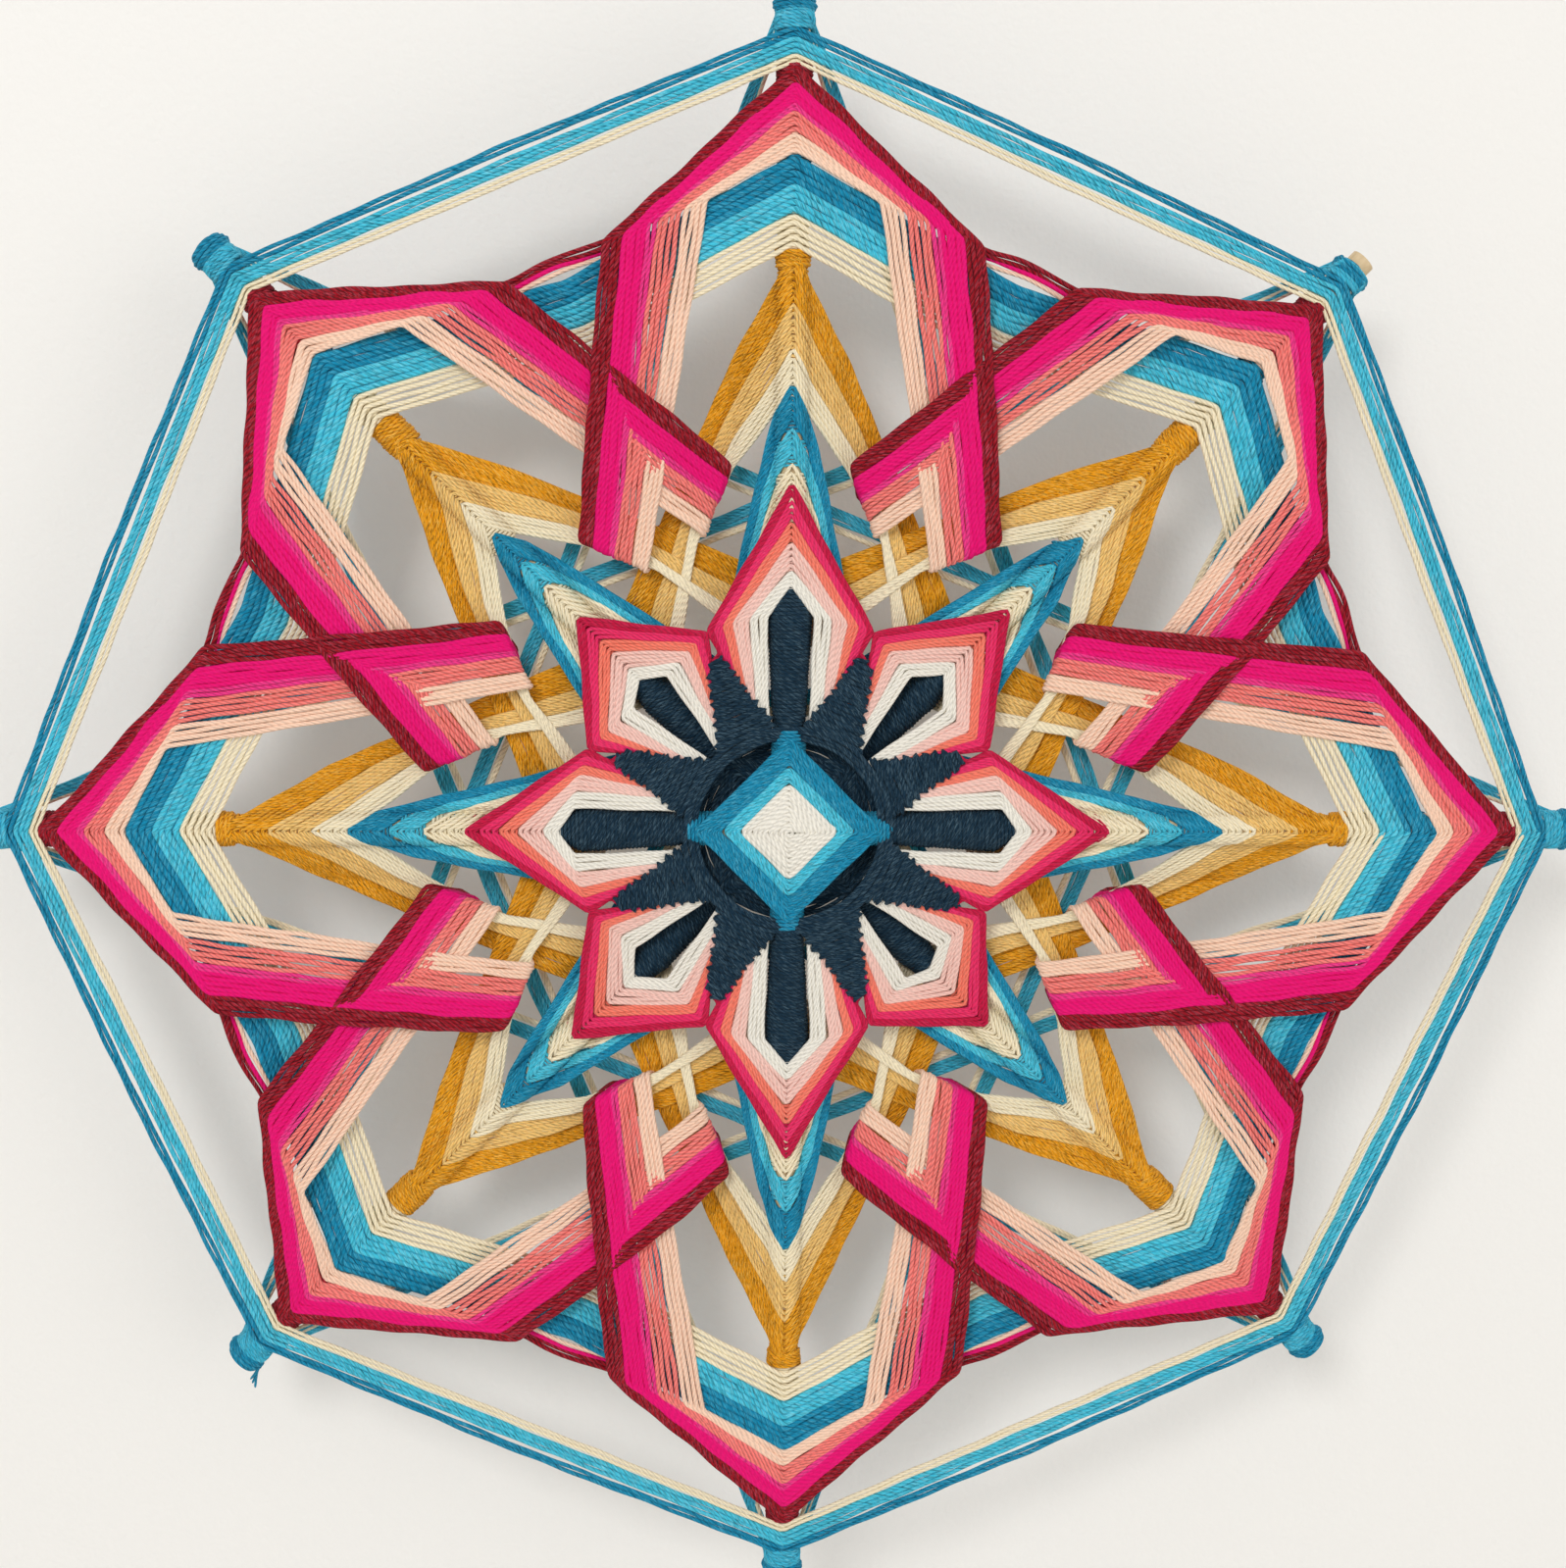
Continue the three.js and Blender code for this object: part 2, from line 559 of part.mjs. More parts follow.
// Spirals from spoke to spoke for the inner octagon and the outer ring
function spiralRoute(start, loops, pitch, pinch) {
  const stepsPerLoop = pinch ? 2 * SPOKES : SPOKES;
  return (offset) => {
    const list = [];
    const steps = loops * stepsPerLoop;
    for (let i = 0; i <= steps; i += 1) {
      const k = i * SPOKES / stepsPerLoop;
      const onSpoke = Number.isInteger(k);
      const radius = start + offset + pitch * i / stepsPerLoop;
      const across = i === 0 ? END_GAP / 2 : i === steps ? -END_GAP / 2 : 0;
      const along = onSpoke ? radius - Math.abs(across) / 2 : radius * pinch;
      list.push({ point: place(k, along, across, onSpoke ? seatOf(k) : SEAT_MIDDLE), half: FORWARD });
    }
    return list;
  };
}
function addSpirals(prefix, loopCounts, from, pitch, pinch) {
  let start = from;
  for (const [colour, loops] of Object.entries(loopCounts)) {
    const halfStrand = (pitch - STRAND_GAP) / 2;
    const route = spiralRoute(start, loops, pitch, pinch);
    addWinding(`${prefix}_${colour}`, colour, stationsOf(route, -halfStrand, halfStrand));
    start += loops * pitch;
  }
}
addSpirals('octagon', OCTAGON_LOOPS, OCTAGON_START, OCTAGON_PITCH, OCTAGON_PINCH);
addSpirals('ring', RING_LOOPS, RING_START, RING_PITCH, 0);

// Crimson tie round the octagon: shows as an arc between the shoulders of neighbouring petals
const tieRoute = (offset) => {
  const list = [];
  const shoulderTurn = TIE_SHOULDER[1] / 45;
  const shoulderLevel = (k) => mix(seatOf(k), SEAT_MIDDLE, 0.8);
  for (let k = 0; k <= SPOKES; k += 1) {
    const across = k === 0 ? END_GAP / 2 : k === SPOKES ? -END_GAP / 2 : 0;
    const shoulder = (sign) => ({
      point: place(k + sign * shoulderTurn, TIE_SHOULDER[0] + offset, 0, shoulderLevel(k)),
      half: FORWARD,
    });
    if (k > 0) list.push(shoulder(-1));
    list.push({ point: place(k, TIE_RADIUS + offset, across, seatOf(k)), half: FORWARD });
    if (k === SPOKES) break;
    list.push(shoulder(1));
    list.push({ point: place(k + 0.5, TIE_MIDDLE + offset, 0, SEAT_MIDDLE), half: FORWARD });
  }
  return list;
};
addWinding('tie_crimson', 'crimson', stationsOf(tieRoute, -TIE_WIDTH / 2, TIE_WIDTH / 2));

// Large petals: apex, shoulder, leg in front of the octagon, hook behind the crossing of the gold
const LEG_DIAGONAL = SEAT_MIDDLE + LEVEL + CLEARANCE;
const LEG_UPRIGHT = LEG_DIAGONAL + 2 * LEVEL;
const SHOULDER_LEVEL = [SEAT_CARDINAL + LEVEL, LEG_DIAGONAL];
const LEG_LEVEL = [LEG_UPRIGHT, LEG_DIAGONAL];
const LEG_END_LEVEL = [SEAT_DIAGONAL + 2 * LEVEL, SEAT_DIAGONAL + CLEARANCE];
const HOOK_LEVEL = UPRIGHT_GOLD_LEVEL - LEVEL;
const LEG_MIDDLE_SHARE = 0.33;
// Where a leg hooks round the gold band beside the neighbouring spoke, and the way in from that band
const HOOK_RISE = HOOK_INNER[1] - HOOK_OUTER[1];
const HOOK_RUN = HOOK_OUTER[0] - HOOK_INNER[0];
const HOOK_LENGTH = Math.hypot(HOOK_RISE, HOOK_RUN);
const HOOK_INWARDS = [-HOOK_RISE / HOOK_LENGTH, -HOOK_RUN / HOOK_LENGTH];
function hookPlace(neighbour, share) {
  const [along, across] = mixPair(HOOK_INNER, HOOK_OUTER, share);
  const scale = goldScale(neighbour);
  return { along: along * scale, across: across * scale, inwards: HOOK_INWARDS };
}
const petalRoute = (radius) => {
  const share = (radius - PETAL.start) / (PETAL.end - PETAL.start);
  const shoulder = mixPair(SHOULDER_INNER, SHOULDER_OUTER, share);
  const list = [];
  const leg = (k, sign) => {
    const d = isDiagonal(k);
    const neighbour = k + sign;
    const hook = hookPlace(neighbour, share);
    const inwards = direction(neighbour, hook.inwards[0], -sign * hook.inwards[1], 0);
    const at = (forward) => place(neighbour, hook.along, -sign * hook.across, forward);
    const top = place(k, shoulder[0], sign * shoulder[1], SHOULDER_LEVEL[d]);
    const middle = top.clone().lerp(at(0), LEG_MIDDLE_SHARE);
    middle.y = -LEG_LEVEL[d];
    return [
      { point: top, half: FORWARD },
      { point: middle, half: FORWARD },
      { point: at(LEG_END_LEVEL[d]), half: FORWARD.clone().add(inwards) },
      { point: at(HOOK_LEVEL), half: FORWARD.clone().negate().add(inwards) },
    ];
  };
  for (let k = 0; k <= SPOKES; k += 1) {
    const across = k === 0 ? END_GAP / 2 : k === SPOKES ? -END_GAP / 2 : 0;
    if (k > 0) list.push(...leg(k, -1).reverse());
    list.push({ point: place(k, radius - Math.abs(across) / 2, across, seatOf(k)), half: FORWARD });
    if (k < SPOKES) list.push(...leg(k, 1));
  }
  return list;
};
for (const [colour, [from, to]] of Object.entries(PETAL.spans)) {
  addWinding(`petal_${colour}`, colour, stationsOf(petalRoute, from, to));
}

// Rear star: straight bands three spokes on, each of four levels holding two that never cross
const REAR_STAR_SPANS = stack(REAR_STAR_OFFSET, REAR_STAR_WIDTHS, REAR_STAR_GAP);
const BEHIND_DIAGONAL = axisOf(1) - DOWEL_RADIUS - CLEARANCE - HALF_BAND;
const REAR_STAR_TOP = Math.min(HOOK_LEVEL - LEVEL, BEHIND_DIAGONAL);
const rearStarRoute = (colour) => (side) => {
  const tip = REAR_STAR_TIPS.spans[colour][side];
  const offset = REAR_STAR_SPANS.spans[colour][side];
  const list = [];
  const jump = 3;
  for (let i = 0; i <= SPOKES; i += 1) {
    const k = i * jump;
    list.push(...tipStations(k, tip, NECK_HALF_WIDTH, i === 0, i === SPOKES, true));
    if (i === SPOKES) break;
    const level = REAR_STAR_TOP - LEVEL * (k % 4);
    for (const along of [-REAR_STAR_FLAT, REAR_STAR_FLAT]) {
      list.push({ point: place(k + jump / 2, offset, along, level), half: FORWARD });
    }
  }
  return list;
};
for (const colour of Object.keys(REAR_STAR_WIDTHS)) {
  addWinding(`rear_star_${colour}`, colour, stationsOf(rearStarRoute(colour), 0, 1));
}

export default part;
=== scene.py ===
import math

import bpy
import numpy as np
from mathutils import Matrix
from mathutils import Vector


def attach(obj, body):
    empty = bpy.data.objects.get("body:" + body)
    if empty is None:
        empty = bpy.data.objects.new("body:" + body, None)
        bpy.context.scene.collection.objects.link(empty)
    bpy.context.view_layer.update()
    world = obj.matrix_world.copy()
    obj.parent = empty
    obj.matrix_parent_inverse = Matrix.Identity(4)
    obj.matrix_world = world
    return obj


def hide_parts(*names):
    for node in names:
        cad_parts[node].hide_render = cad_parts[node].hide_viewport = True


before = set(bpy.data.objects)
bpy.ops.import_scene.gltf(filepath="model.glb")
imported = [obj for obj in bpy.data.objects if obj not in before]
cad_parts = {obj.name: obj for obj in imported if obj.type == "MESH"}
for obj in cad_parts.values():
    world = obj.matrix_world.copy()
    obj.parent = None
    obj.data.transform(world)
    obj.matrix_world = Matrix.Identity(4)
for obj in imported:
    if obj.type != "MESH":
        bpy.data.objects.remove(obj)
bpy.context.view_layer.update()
rng = np.random.default_rng(8)

METRES = 0.001

# Sizes in millimetres, the same as the solids
SPOKES = 8
DOWELS = 4
UPRIGHT_SPOKES = range(0, SPOKES, 2)
DIAGONAL_SPOKES = range(1, SPOKES, 2)
STEP = math.pi / 4
DOWEL_RADIUS = 4.0
DOWEL_END = 250.0
CLEARANCE = 0.3
BAND = 1.0
LEVEL = 1.5
COLOUR_GAP = 0.5
CROSS_OFFSET = DOWEL_RADIUS + CLEARANCE / 2
HUB_RING_RADIUS = 31.7
BAR_START = 33.2
BAR_ROOT_RADIUS = (5.5, 5.2)
BAR_HEAD_RADIUS = (7.0, 6.0)
BAR_HEAD_PLACE = (60.0, 54.0)
BAR_TIP_RADIUS = 4.75
FLOWER_DIAGONAL = 0.91
SPEAR_DIAGONAL = 0.942
GOLD_DIAGONAL = 0.965
KINK_INNER = (67.0, 7.1)
KINK_OUTER = (62.0, 25.7)
TUCK_INNER = (32.7, 6.2)
TUCK_OUTER = ((56.0, 22.0), (54.5, 19.5))
TUCK_DIAGONAL = (32.0, 1.8)
FAN_SHARES = (0.0, 0.17, 0.45, 0.65, 0.84, 1.0)
FAN_KINK = (0.0, 0.32, 0.58, 0.76, 0.9, 1.0)
FAN_TUCK = (0.0, 0.27, 0.42, 0.6, 0.85, 1.0)
SPEAR_TIP_HALF = 4.7
SPEAR_ROOTS = (33.0, 39.0)
SPEAR_DIVES = (0.6, 0.75)
SPEAR_COLOUR_GAP = 2.2
NECK_HALF = 5.2
GOLD_COLOUR_GAP = 1.7
GOLD_ROOTS = (57.0, 80.0)
GOLD_BOW = 7.0
OCTAGON_PITCH = 2.05
OCTAGON_PINCH = 0.886
TIE_WIDTH = 1.1
TIE_SHOULDER = (185.8, 17.7)
TIE_MIDDLE = 187.2
RING_PITCH = 1.58
SHOULDER_INNER = (189.3, 30.1)
SHOULDER_OUTER = (177.5, 56.8)
HOOK_INNER = (94.0, 25.0)
HOOK_OUTER = (113.0, 18.4)
LEG_MIDDLE_SHARE = 0.33
PETAL_TIE_GAP = 1.3
REAR_OFFSET = 91.0
REAR_FLAT = 122.0
CAP_LENGTH = 4.2


def stack(start, widths, gap):
    """Start and end along the spoke of each colour of a layer, the layer's end and the next one's start."""
    spans = {}
    place_now = start
    for colour, width in widths.items():
        spans[colour] = (place_now, place_now + width - gap)
        place_now += width
    return spans, place_now - gap, place_now


def mix(a, b, share):
    return a + (b - a) * share


FLOWER_WIDTHS = {"white": 5.3, "pale_pink": 8.4, "coral": 6.0, "rose": 5.8, "crimson": 4.8}
SPEAR_WIDTHS = {"cream": 10.6, "light_blue": 10.2, "dark_blue": 12.6}
GOLD_WIDTHS = {"cream": 9.2, "light_gold": 13.4, "gold": 16.8}
PETAL_WIDTHS = {"peach": 5.1, "coral": 3.9, "pink": 2.1, "magenta": 5.9, "crimson": 4.6}
OCTAGON_LOOPS = {"cream": 5, "light_blue": 4, "dark_blue": 4}
RING_LOOPS = {"cream": 2, "light_blue": 3, "dark_blue": 2}
REAR_TIP_WIDTHS = {"cream": 1.8, "blue": 2.2}
REAR_TIP_GAP = 1.3
REAR_WIDTHS = {"cream": 2.3, "blue": 5.6}
REAR_GAP = 1.0
FLOWER_START = 71.3
FLOWER, FLOWER_END, FLOWER_NEXT = stack(FLOWER_START, FLOWER_WIDTHS, COLOUR_GAP)
SPEAR_START = FLOWER_NEXT + CLEARANCE
SPEAR, SPEAR_END, SPEAR_NEXT = stack(SPEAR_START, SPEAR_WIDTHS, SPEAR_COLOUR_GAP)
GOLD_START = SPEAR_NEXT
GOLD, GOLD_END = stack(GOLD_START, GOLD_WIDTHS, GOLD_COLOUR_GAP)[:2]
PINCH_REACH = OCTAGON_PINCH * math.cos(STEP / 2)
OCTAGON_SLOPE = (1 - PINCH_REACH) / (OCTAGON_PINCH * math.sin(STEP / 2))
OCTAGON_START = GOLD_END + OCTAGON_PITCH + NECK_HALF * OCTAGON_SLOPE
OCTAGON_END = OCTAGON_START + OCTAGON_PITCH * sum(OCTAGON_LOOPS.values())
TIE_RADIUS = OCTAGON_END + (OCTAGON_PITCH + TIE_WIDTH) / 2
PETAL_START = TIE_RADIUS + TIE_WIDTH / 2 + PETAL_TIE_GAP
PETAL, PETAL_END, PETAL_NEXT = stack(PETAL_START, PETAL_WIDTHS, COLOUR_GAP)
RING_START = PETAL_NEXT + RING_PITCH / 2
RING_END = RING_START + RING_PITCH * sum(RING_LOOPS.values())
REAR_TIPS = stack(RING_END + RING_PITCH / 2, REAR_TIP_WIDTHS, REAR_TIP_GAP)[0]
REAR = stack(REAR_OFFSET, REAR_WIDTHS, REAR_GAP)[0]


# Places beside spoke k: along it, across it towards the next spoke, and forward of the frame
def place(k, along, across, forward):
    angle = k * STEP
    x = along * math.cos(angle) - across * math.sin(angle)
    z = along * math.sin(angle) + across * math.cos(angle)
    return np.array((x, -forward, z))


def is_diagonal(k):
    return int(round(k)) % 2


def axis_of(k):
    return -CROSS_OFFSET if is_diagonal(k) else CROSS_OFFSET


def seat_of(k):
    return axis_of(k) + DOWEL_RADIUS + CLEARANCE + BAND / 2


SEAT_UPRIGHT = seat_of(0)
SEAT_DIAGONAL = seat_of(1)
SEAT_MIDDLE = (SEAT_UPRIGHT + SEAT_DIAGONAL) / 2
GOLD_DIAGONAL_LEVEL = axis_of(0) - BAR_HEAD_RADIUS[0] - CLEARANCE - BAND / 2
GOLD_UPRIGHT_LEVEL = GOLD_DIAGONAL_LEVEL - LEVEL
GOLD_ROOT_LEVELS = (axis_of(1) - BAR_HEAD_RADIUS[1] - CLEARANCE - BAND / 2, GOLD_DIAGONAL_LEVEL)
HOOK_LEVEL = GOLD_UPRIGHT_LEVEL - LEVEL
REAR_TOP = min(HOOK_LEVEL - LEVEL, axis_of(1) - DOWEL_RADIUS - CLEARANCE - BAND / 2)
TUCK_LEVEL = SEAT_UPRIGHT - LEVEL - BAND / 2


# Shader maths: a socket that takes part in arithmetic
class Wire:
    def __init__(self, finish, socket):
        self.finish = finish
        self.socket = socket

    def maths(self, operation, *values):
        node = self.finish.node("ShaderNodeMath", {"operation": operation}, dict(enumerate(values)))
        return Wire(self.finish, node.outputs[0])

    def cosine(self):
        return self.maths("COSINE", self)

    def sine(self):
        return self.maths("SINE", self)

    def __add__(self, other):
        return self.maths("ADD", self, other)

    def __radd__(self, other):
        return self.maths("ADD", other, self)

    def __sub__(self, other):
        return self.maths("SUBTRACT", self, other)

    def __rsub__(self, other):
        return self.maths("SUBTRACT", other, self)

    def __mul__(self, other):
        return self.maths("MULTIPLY", self, other)

    def __rmul__(self, other):
        return self.maths("MULTIPLY", other, self)


class Finish:
    """A node material that is built up from one method for nodes."""

    def __init__(self, name):
        self.material = bpy.data.materials.new(name)
        self.material.use_nodes = True
        self.tree = self.material.node_tree
        self.tree.nodes.clear()
        self.output = self.node("ShaderNodeOutputMaterial")
        self.shader = self.node("ShaderNodeBsdfPrincipled")
        self.link(self.shader.outputs[0], self.output.inputs["Surface"])

    def node(self, kind, settings=None, inputs=None):
        node = self.tree.nodes.new(kind)
        for key, value in (settings or {}).items():
            setattr(node, key, value)
        for key, value in (inputs or {}).items():
            self.feed(node.inputs[key], value)
        return node

    def feed(self, socket, value):
        if isinstance(value, Wire):
            self.link(value.socket, socket)
        elif isinstance(value, bpy.types.NodeSocket):
            self.link(value, socket)
        else:
            socket.default_value = value

    def link(self, source, target):
        self.tree.links.new(source, target)

    def wire(self, kind, settings=None, inputs=None, output=0):
        return Wire(self, self.node(kind, settings, inputs).outputs[output])

    def attribute(self, name):
        return self.wire("ShaderNodeAttribute", {"attribute_name": name}, output="Fac")

    def noise(self, scale, detail=2.0, vector=None):
        if vector is None:
            vector = self.wire("ShaderNodeTexCoord", output="Object")
        inputs = {"Scale": scale, "Detail": detail, "Vector": vector}
        return self.wire("ShaderNodeTexNoise", inputs=inputs)

    def blend(self, factor, first, second):
        settings = {"data_type": "RGBA", "clamp_factor": True}
        return self.wire("ShaderNodeMix", settings, {0: factor, 6: first, 7: second}, output=2)

    def set(self, **values):
        for key, value in values.items():
            self.feed(self.shader.inputs[key.replace("_", " ")], value)

    def bump(self, height, strength, distance):
        inputs = {"Height": height, "Strength": strength, "Distance": distance}
        self.set(Normal=self.wire("ShaderNodeBump", inputs=inputs))


DISPLAY_KNEE = 0.04045
DISPLAY_SLOPE = 12.92
DISPLAY_SHIFT = 0.055
DISPLAY_POWER = 2.4
BLACK = (0.0, 0.0, 0.0, 1.0)


def linear(colour):
    """Linear colour with alpha from display values out of 255."""
    values = []
    for value in colour:
        share = value / 255
        curve = ((share + DISPLAY_SHIFT) / (1 + DISPLAY_SHIFT)) ** DISPLAY_POWER
        values.append(share / DISPLAY_SLOPE if share <= DISPLAY_KNEE else curve)
    return tuple(values) + (1.0,)


def scaled(colour, factor):
    return tuple(min(255, max(0, value * factor)) for value in colour)


def lifted(colour, share):
    return tuple(mix(value, 255, share) for value in colour)


# Yarn: painted shade darkens the grooves between plies, streaks of fibre follow the twist, and some yarns
# are flecked
PLIES = 3
LAY = 6.6
FIBRE_LENGTH = 0.13
FIBRE_SCALE = 2.6
PALE_FIBRE_SHIFT = 7.0
PATCH_SCALE = 90
DARK_START = 0.48
DARK_GAIN = 8
DARK_SHARE = 0.5
PALE_START = 0.53
PALE_GAIN = 11
PALE_SHARE = 0.32
TONE_STREAK = 0.5
TONE_LEAST = 0.04
YARN_ROUGHNESS = 0.84
ROUGHNESS_SPREAD = 0.2
SHEEN_ROUGHNESS = 0.55
SHEEN_SHARE = 0.3
YARN_SPECULAR = 0.25
PLY_HEIGHT = 0.5
FIBRE_HEIGHT = 0.6
YARN_BUMP = 0.6
YARN_BUMP_DEPTH = 0.0004


def yarn_finish(name, colour, streak, fuzz=0.25, painted_groove_strength=0.5):
    finish = Finish("yarn_" + name)
    lie = finish.node("ShaderNodeAttribute", {"attribute_name": "lie"})
    parts = finish.node("ShaderNodeSeparateXYZ", {}, {0: lie.outputs["Vector"]})
    beside, above, along = [Wire(finish, parts.outputs[i]) for i in range(3)]
    turn = above.maths("ARCTAN2", above, beside) - along * (2 * math.pi / LAY)
    lobe = (turn * PLIES).cosine()
    painted_groove_shade = 0.5 - lobe * 0.5

    def fibres_at(shift):
        helix = {0: turn.cosine(), 1: turn.sine() + shift, 2: along * FIBRE_LENGTH}
        return finish.noise(FIBRE_SCALE, vector=finish.wire("ShaderNodeCombineXYZ", {}, helix))

    dark_fibres = fibres_at(0.0)
    pale_fibres = fibres_at(PALE_FIBRE_SHIFT)
    patch = finish.noise(PATCH_SCALE)
    tone = finish.attribute("tone")
    # Painted shade: the grooves between plies are darkened in the base colour; the fibre streaks and
    # patches add the yarn's own darker flecks
    painted_shade_and_flecks = painted_groove_shade * painted_groove_shade * painted_groove_strength + (dark_fibres - DARK_START) * (DARK_GAIN * streak)
    painted_shade_and_flecks = painted_shade_and_flecks + (patch - 0.5) * streak
    body = finish.blend(painted_shade_and_flecks, linear(colour), linear(scaled(colour, DARK_SHARE)))
    bright = (pale_fibres - PALE_START) * (PALE_GAIN * streak) + tone * (TONE_STREAK * streak + TONE_LEAST)
    body = finish.blend(bright, body, linear(lifted(colour, PALE_SHARE)))
    finish.set(Base_Color=body, Roughness=YARN_ROUGHNESS + (dark_fibres - 0.5) * ROUGHNESS_SPREAD)
    finish.set(Sheen_Weight=fuzz, Sheen_Roughness=SHEEN_ROUGHNESS)
    finish.set(Sheen_Tint=linear(lifted(colour, SHEEN_SHARE)), Specular_IOR_Level=YARN_SPECULAR)
    finish.bump(lobe * PLY_HEIGHT + dark_fibres * FIBRE_HEIGHT, YARN_BUMP, YARN_BUMP_DEPTH)
    return finish.material


LOOKS = {
    "white": dict(colour=(243, 238, 226), streak=0.06, painted_groove_strength=0.3),
    "pale_pink": dict(colour=(248, 202, 190), streak=0.06, painted_groove_strength=0.3),
    "flower_coral": dict(colour=(252, 128, 106), streak=0.08, painted_groove_strength=0.4),
    "rose": dict(colour=(238, 42, 102), streak=0.08, painted_groove_strength=0.4),
    "flower_crimson": dict(colour=(202, 8, 64), streak=0.12),
    "navy": dict(colour=(3, 41, 62), streak=0.3, fuzz=0.12),
    "cream": dict(colour=(250, 236, 202), streak=0.08, painted_groove_strength=0.3),
    "light_blue": dict(colour=(64, 196, 224), streak=0.34),
    "dark_blue": dict(colour=(0, 136, 176), streak=0.34),
    "blue": dict(colour=(56, 183, 215), streak=0.32),
    "light_gold": dict(colour=(250, 204, 120), streak=0.22),
    "gold": dict(colour=(238, 159, 6), streak=0.45),
    "peach": dict(colour=(254, 214, 188), streak=0.07, painted_groove_strength=0.3),
    "petal_coral": dict(colour=(254, 130, 123), streak=0.1, painted_groove_strength=0.55),
    "pink": dict(colour=(244, 52, 138), streak=0.1, painted_groove_strength=0.5),
    "magenta": dict(colour=(234, 0, 114), streak=0.03, fuzz=0.02, painted_groove_strength=0.2),
    "crimson": dict(colour=(158, 0, 24), streak=0.3, fuzz=0.06, painted_groove_strength=1.0),
}
YARNS = {name: yarn_finish(name, **look) for name, look in LOOKS.items()}


# Yarn strands as tubes that carry, for their finish, the way round and the way along
SIDES = 7
STRAND_STEP = 1.3
CORNER_SHARE = 0.45
CORNER_POINTS = (0.0, 0.25, 0.5, 0.75, 1.0)
TINY = 1e-6
STEEP = 0.8
DRIFT_WAVES = (6.1, 2.9)
LIFT_WAVE = 4.3
LIFT_SHARE = 0.5
SWELL_WAVE = 7.7
SWELL = 0.06
END_TAPER = 0.6
TWIST_SHIFT = 40
TONE_WAVE = 23
TONE_SWING = 0.3
TONE_JITTER = 0.2
COIL_STEP = 2.0
COIL_SIDES = 6
COIL_CUT = 0.6
COIL_WANDER = 0.05
TURN_POINTS = 14
LEAST_POINTS = 8
BACK_POINTS = 12
BACK_START = 0.02
BACK_GAP = 0.1
BACK_CUT = 0.5
BACK_STEP = 1.4


def rounded(points, cut):
    """The path with each corner replaced by a short curve."""
    points = [np.asarray(p, float) for p in points]
    path = [points[0]]
    for before, corner, after in zip(points, points[1:], points[2:]):
        into = before - corner
        away = after - corner
        reach = min(cut, np.linalg.norm(into) * CORNER_SHARE, np.linalg.norm(away) * CORNER_SHARE)
        start = corner + into / max(np.linalg.norm(into), TINY) * reach
        end = corner + away / max(np.linalg.norm(away), TINY) * reach
        for share in CORNER_POINTS:
            path.append((1 - share) ** 2 * start + 2 * share * (1 - share) * corner + share ** 2 * end)
    path.append(points[-1])
    return np.array(path)


def even_steps(path, step):
    """Points at even distances along the path, and those distances."""
    lengths = np.linalg.norm(np.diff(path, axis=0), axis=1)
    along = np.concatenate(([0.0], np.cumsum(lengths)))
    count = max(3, int(round(along[-1] / step)) + 1)
    spots = np.linspace(0.0, along[-1], count)
    points = np.stack([np.interp(spots, along, path[:, i]) for i in range(3)], axis=1)
    return points, spots


def side_vectors(tangents):
    """A vector across the path at each point, turning no more than the path does."""
    across = np.zeros_like(tangents)
    first = tangents[0]
    nx, ny, nz = (0.0, 1.0, 0.0) if abs(first[1]) < STEEP else (1.0, 0.0, 0.0)
    for i, (tx, ty, tz) in enumerate(tangents.tolist()):
        dot = nx * tx + ny * ty + nz * tz
        nx, ny, nz = nx - dot * tx, ny - dot * ty, nz - dot * tz
        size = math.sqrt(nx * nx + ny * ny + nz * nz) or 1.0
        nx, ny, nz = nx / size, ny / size, nz / size
        across[i] = (nx, ny, nz)
    return across


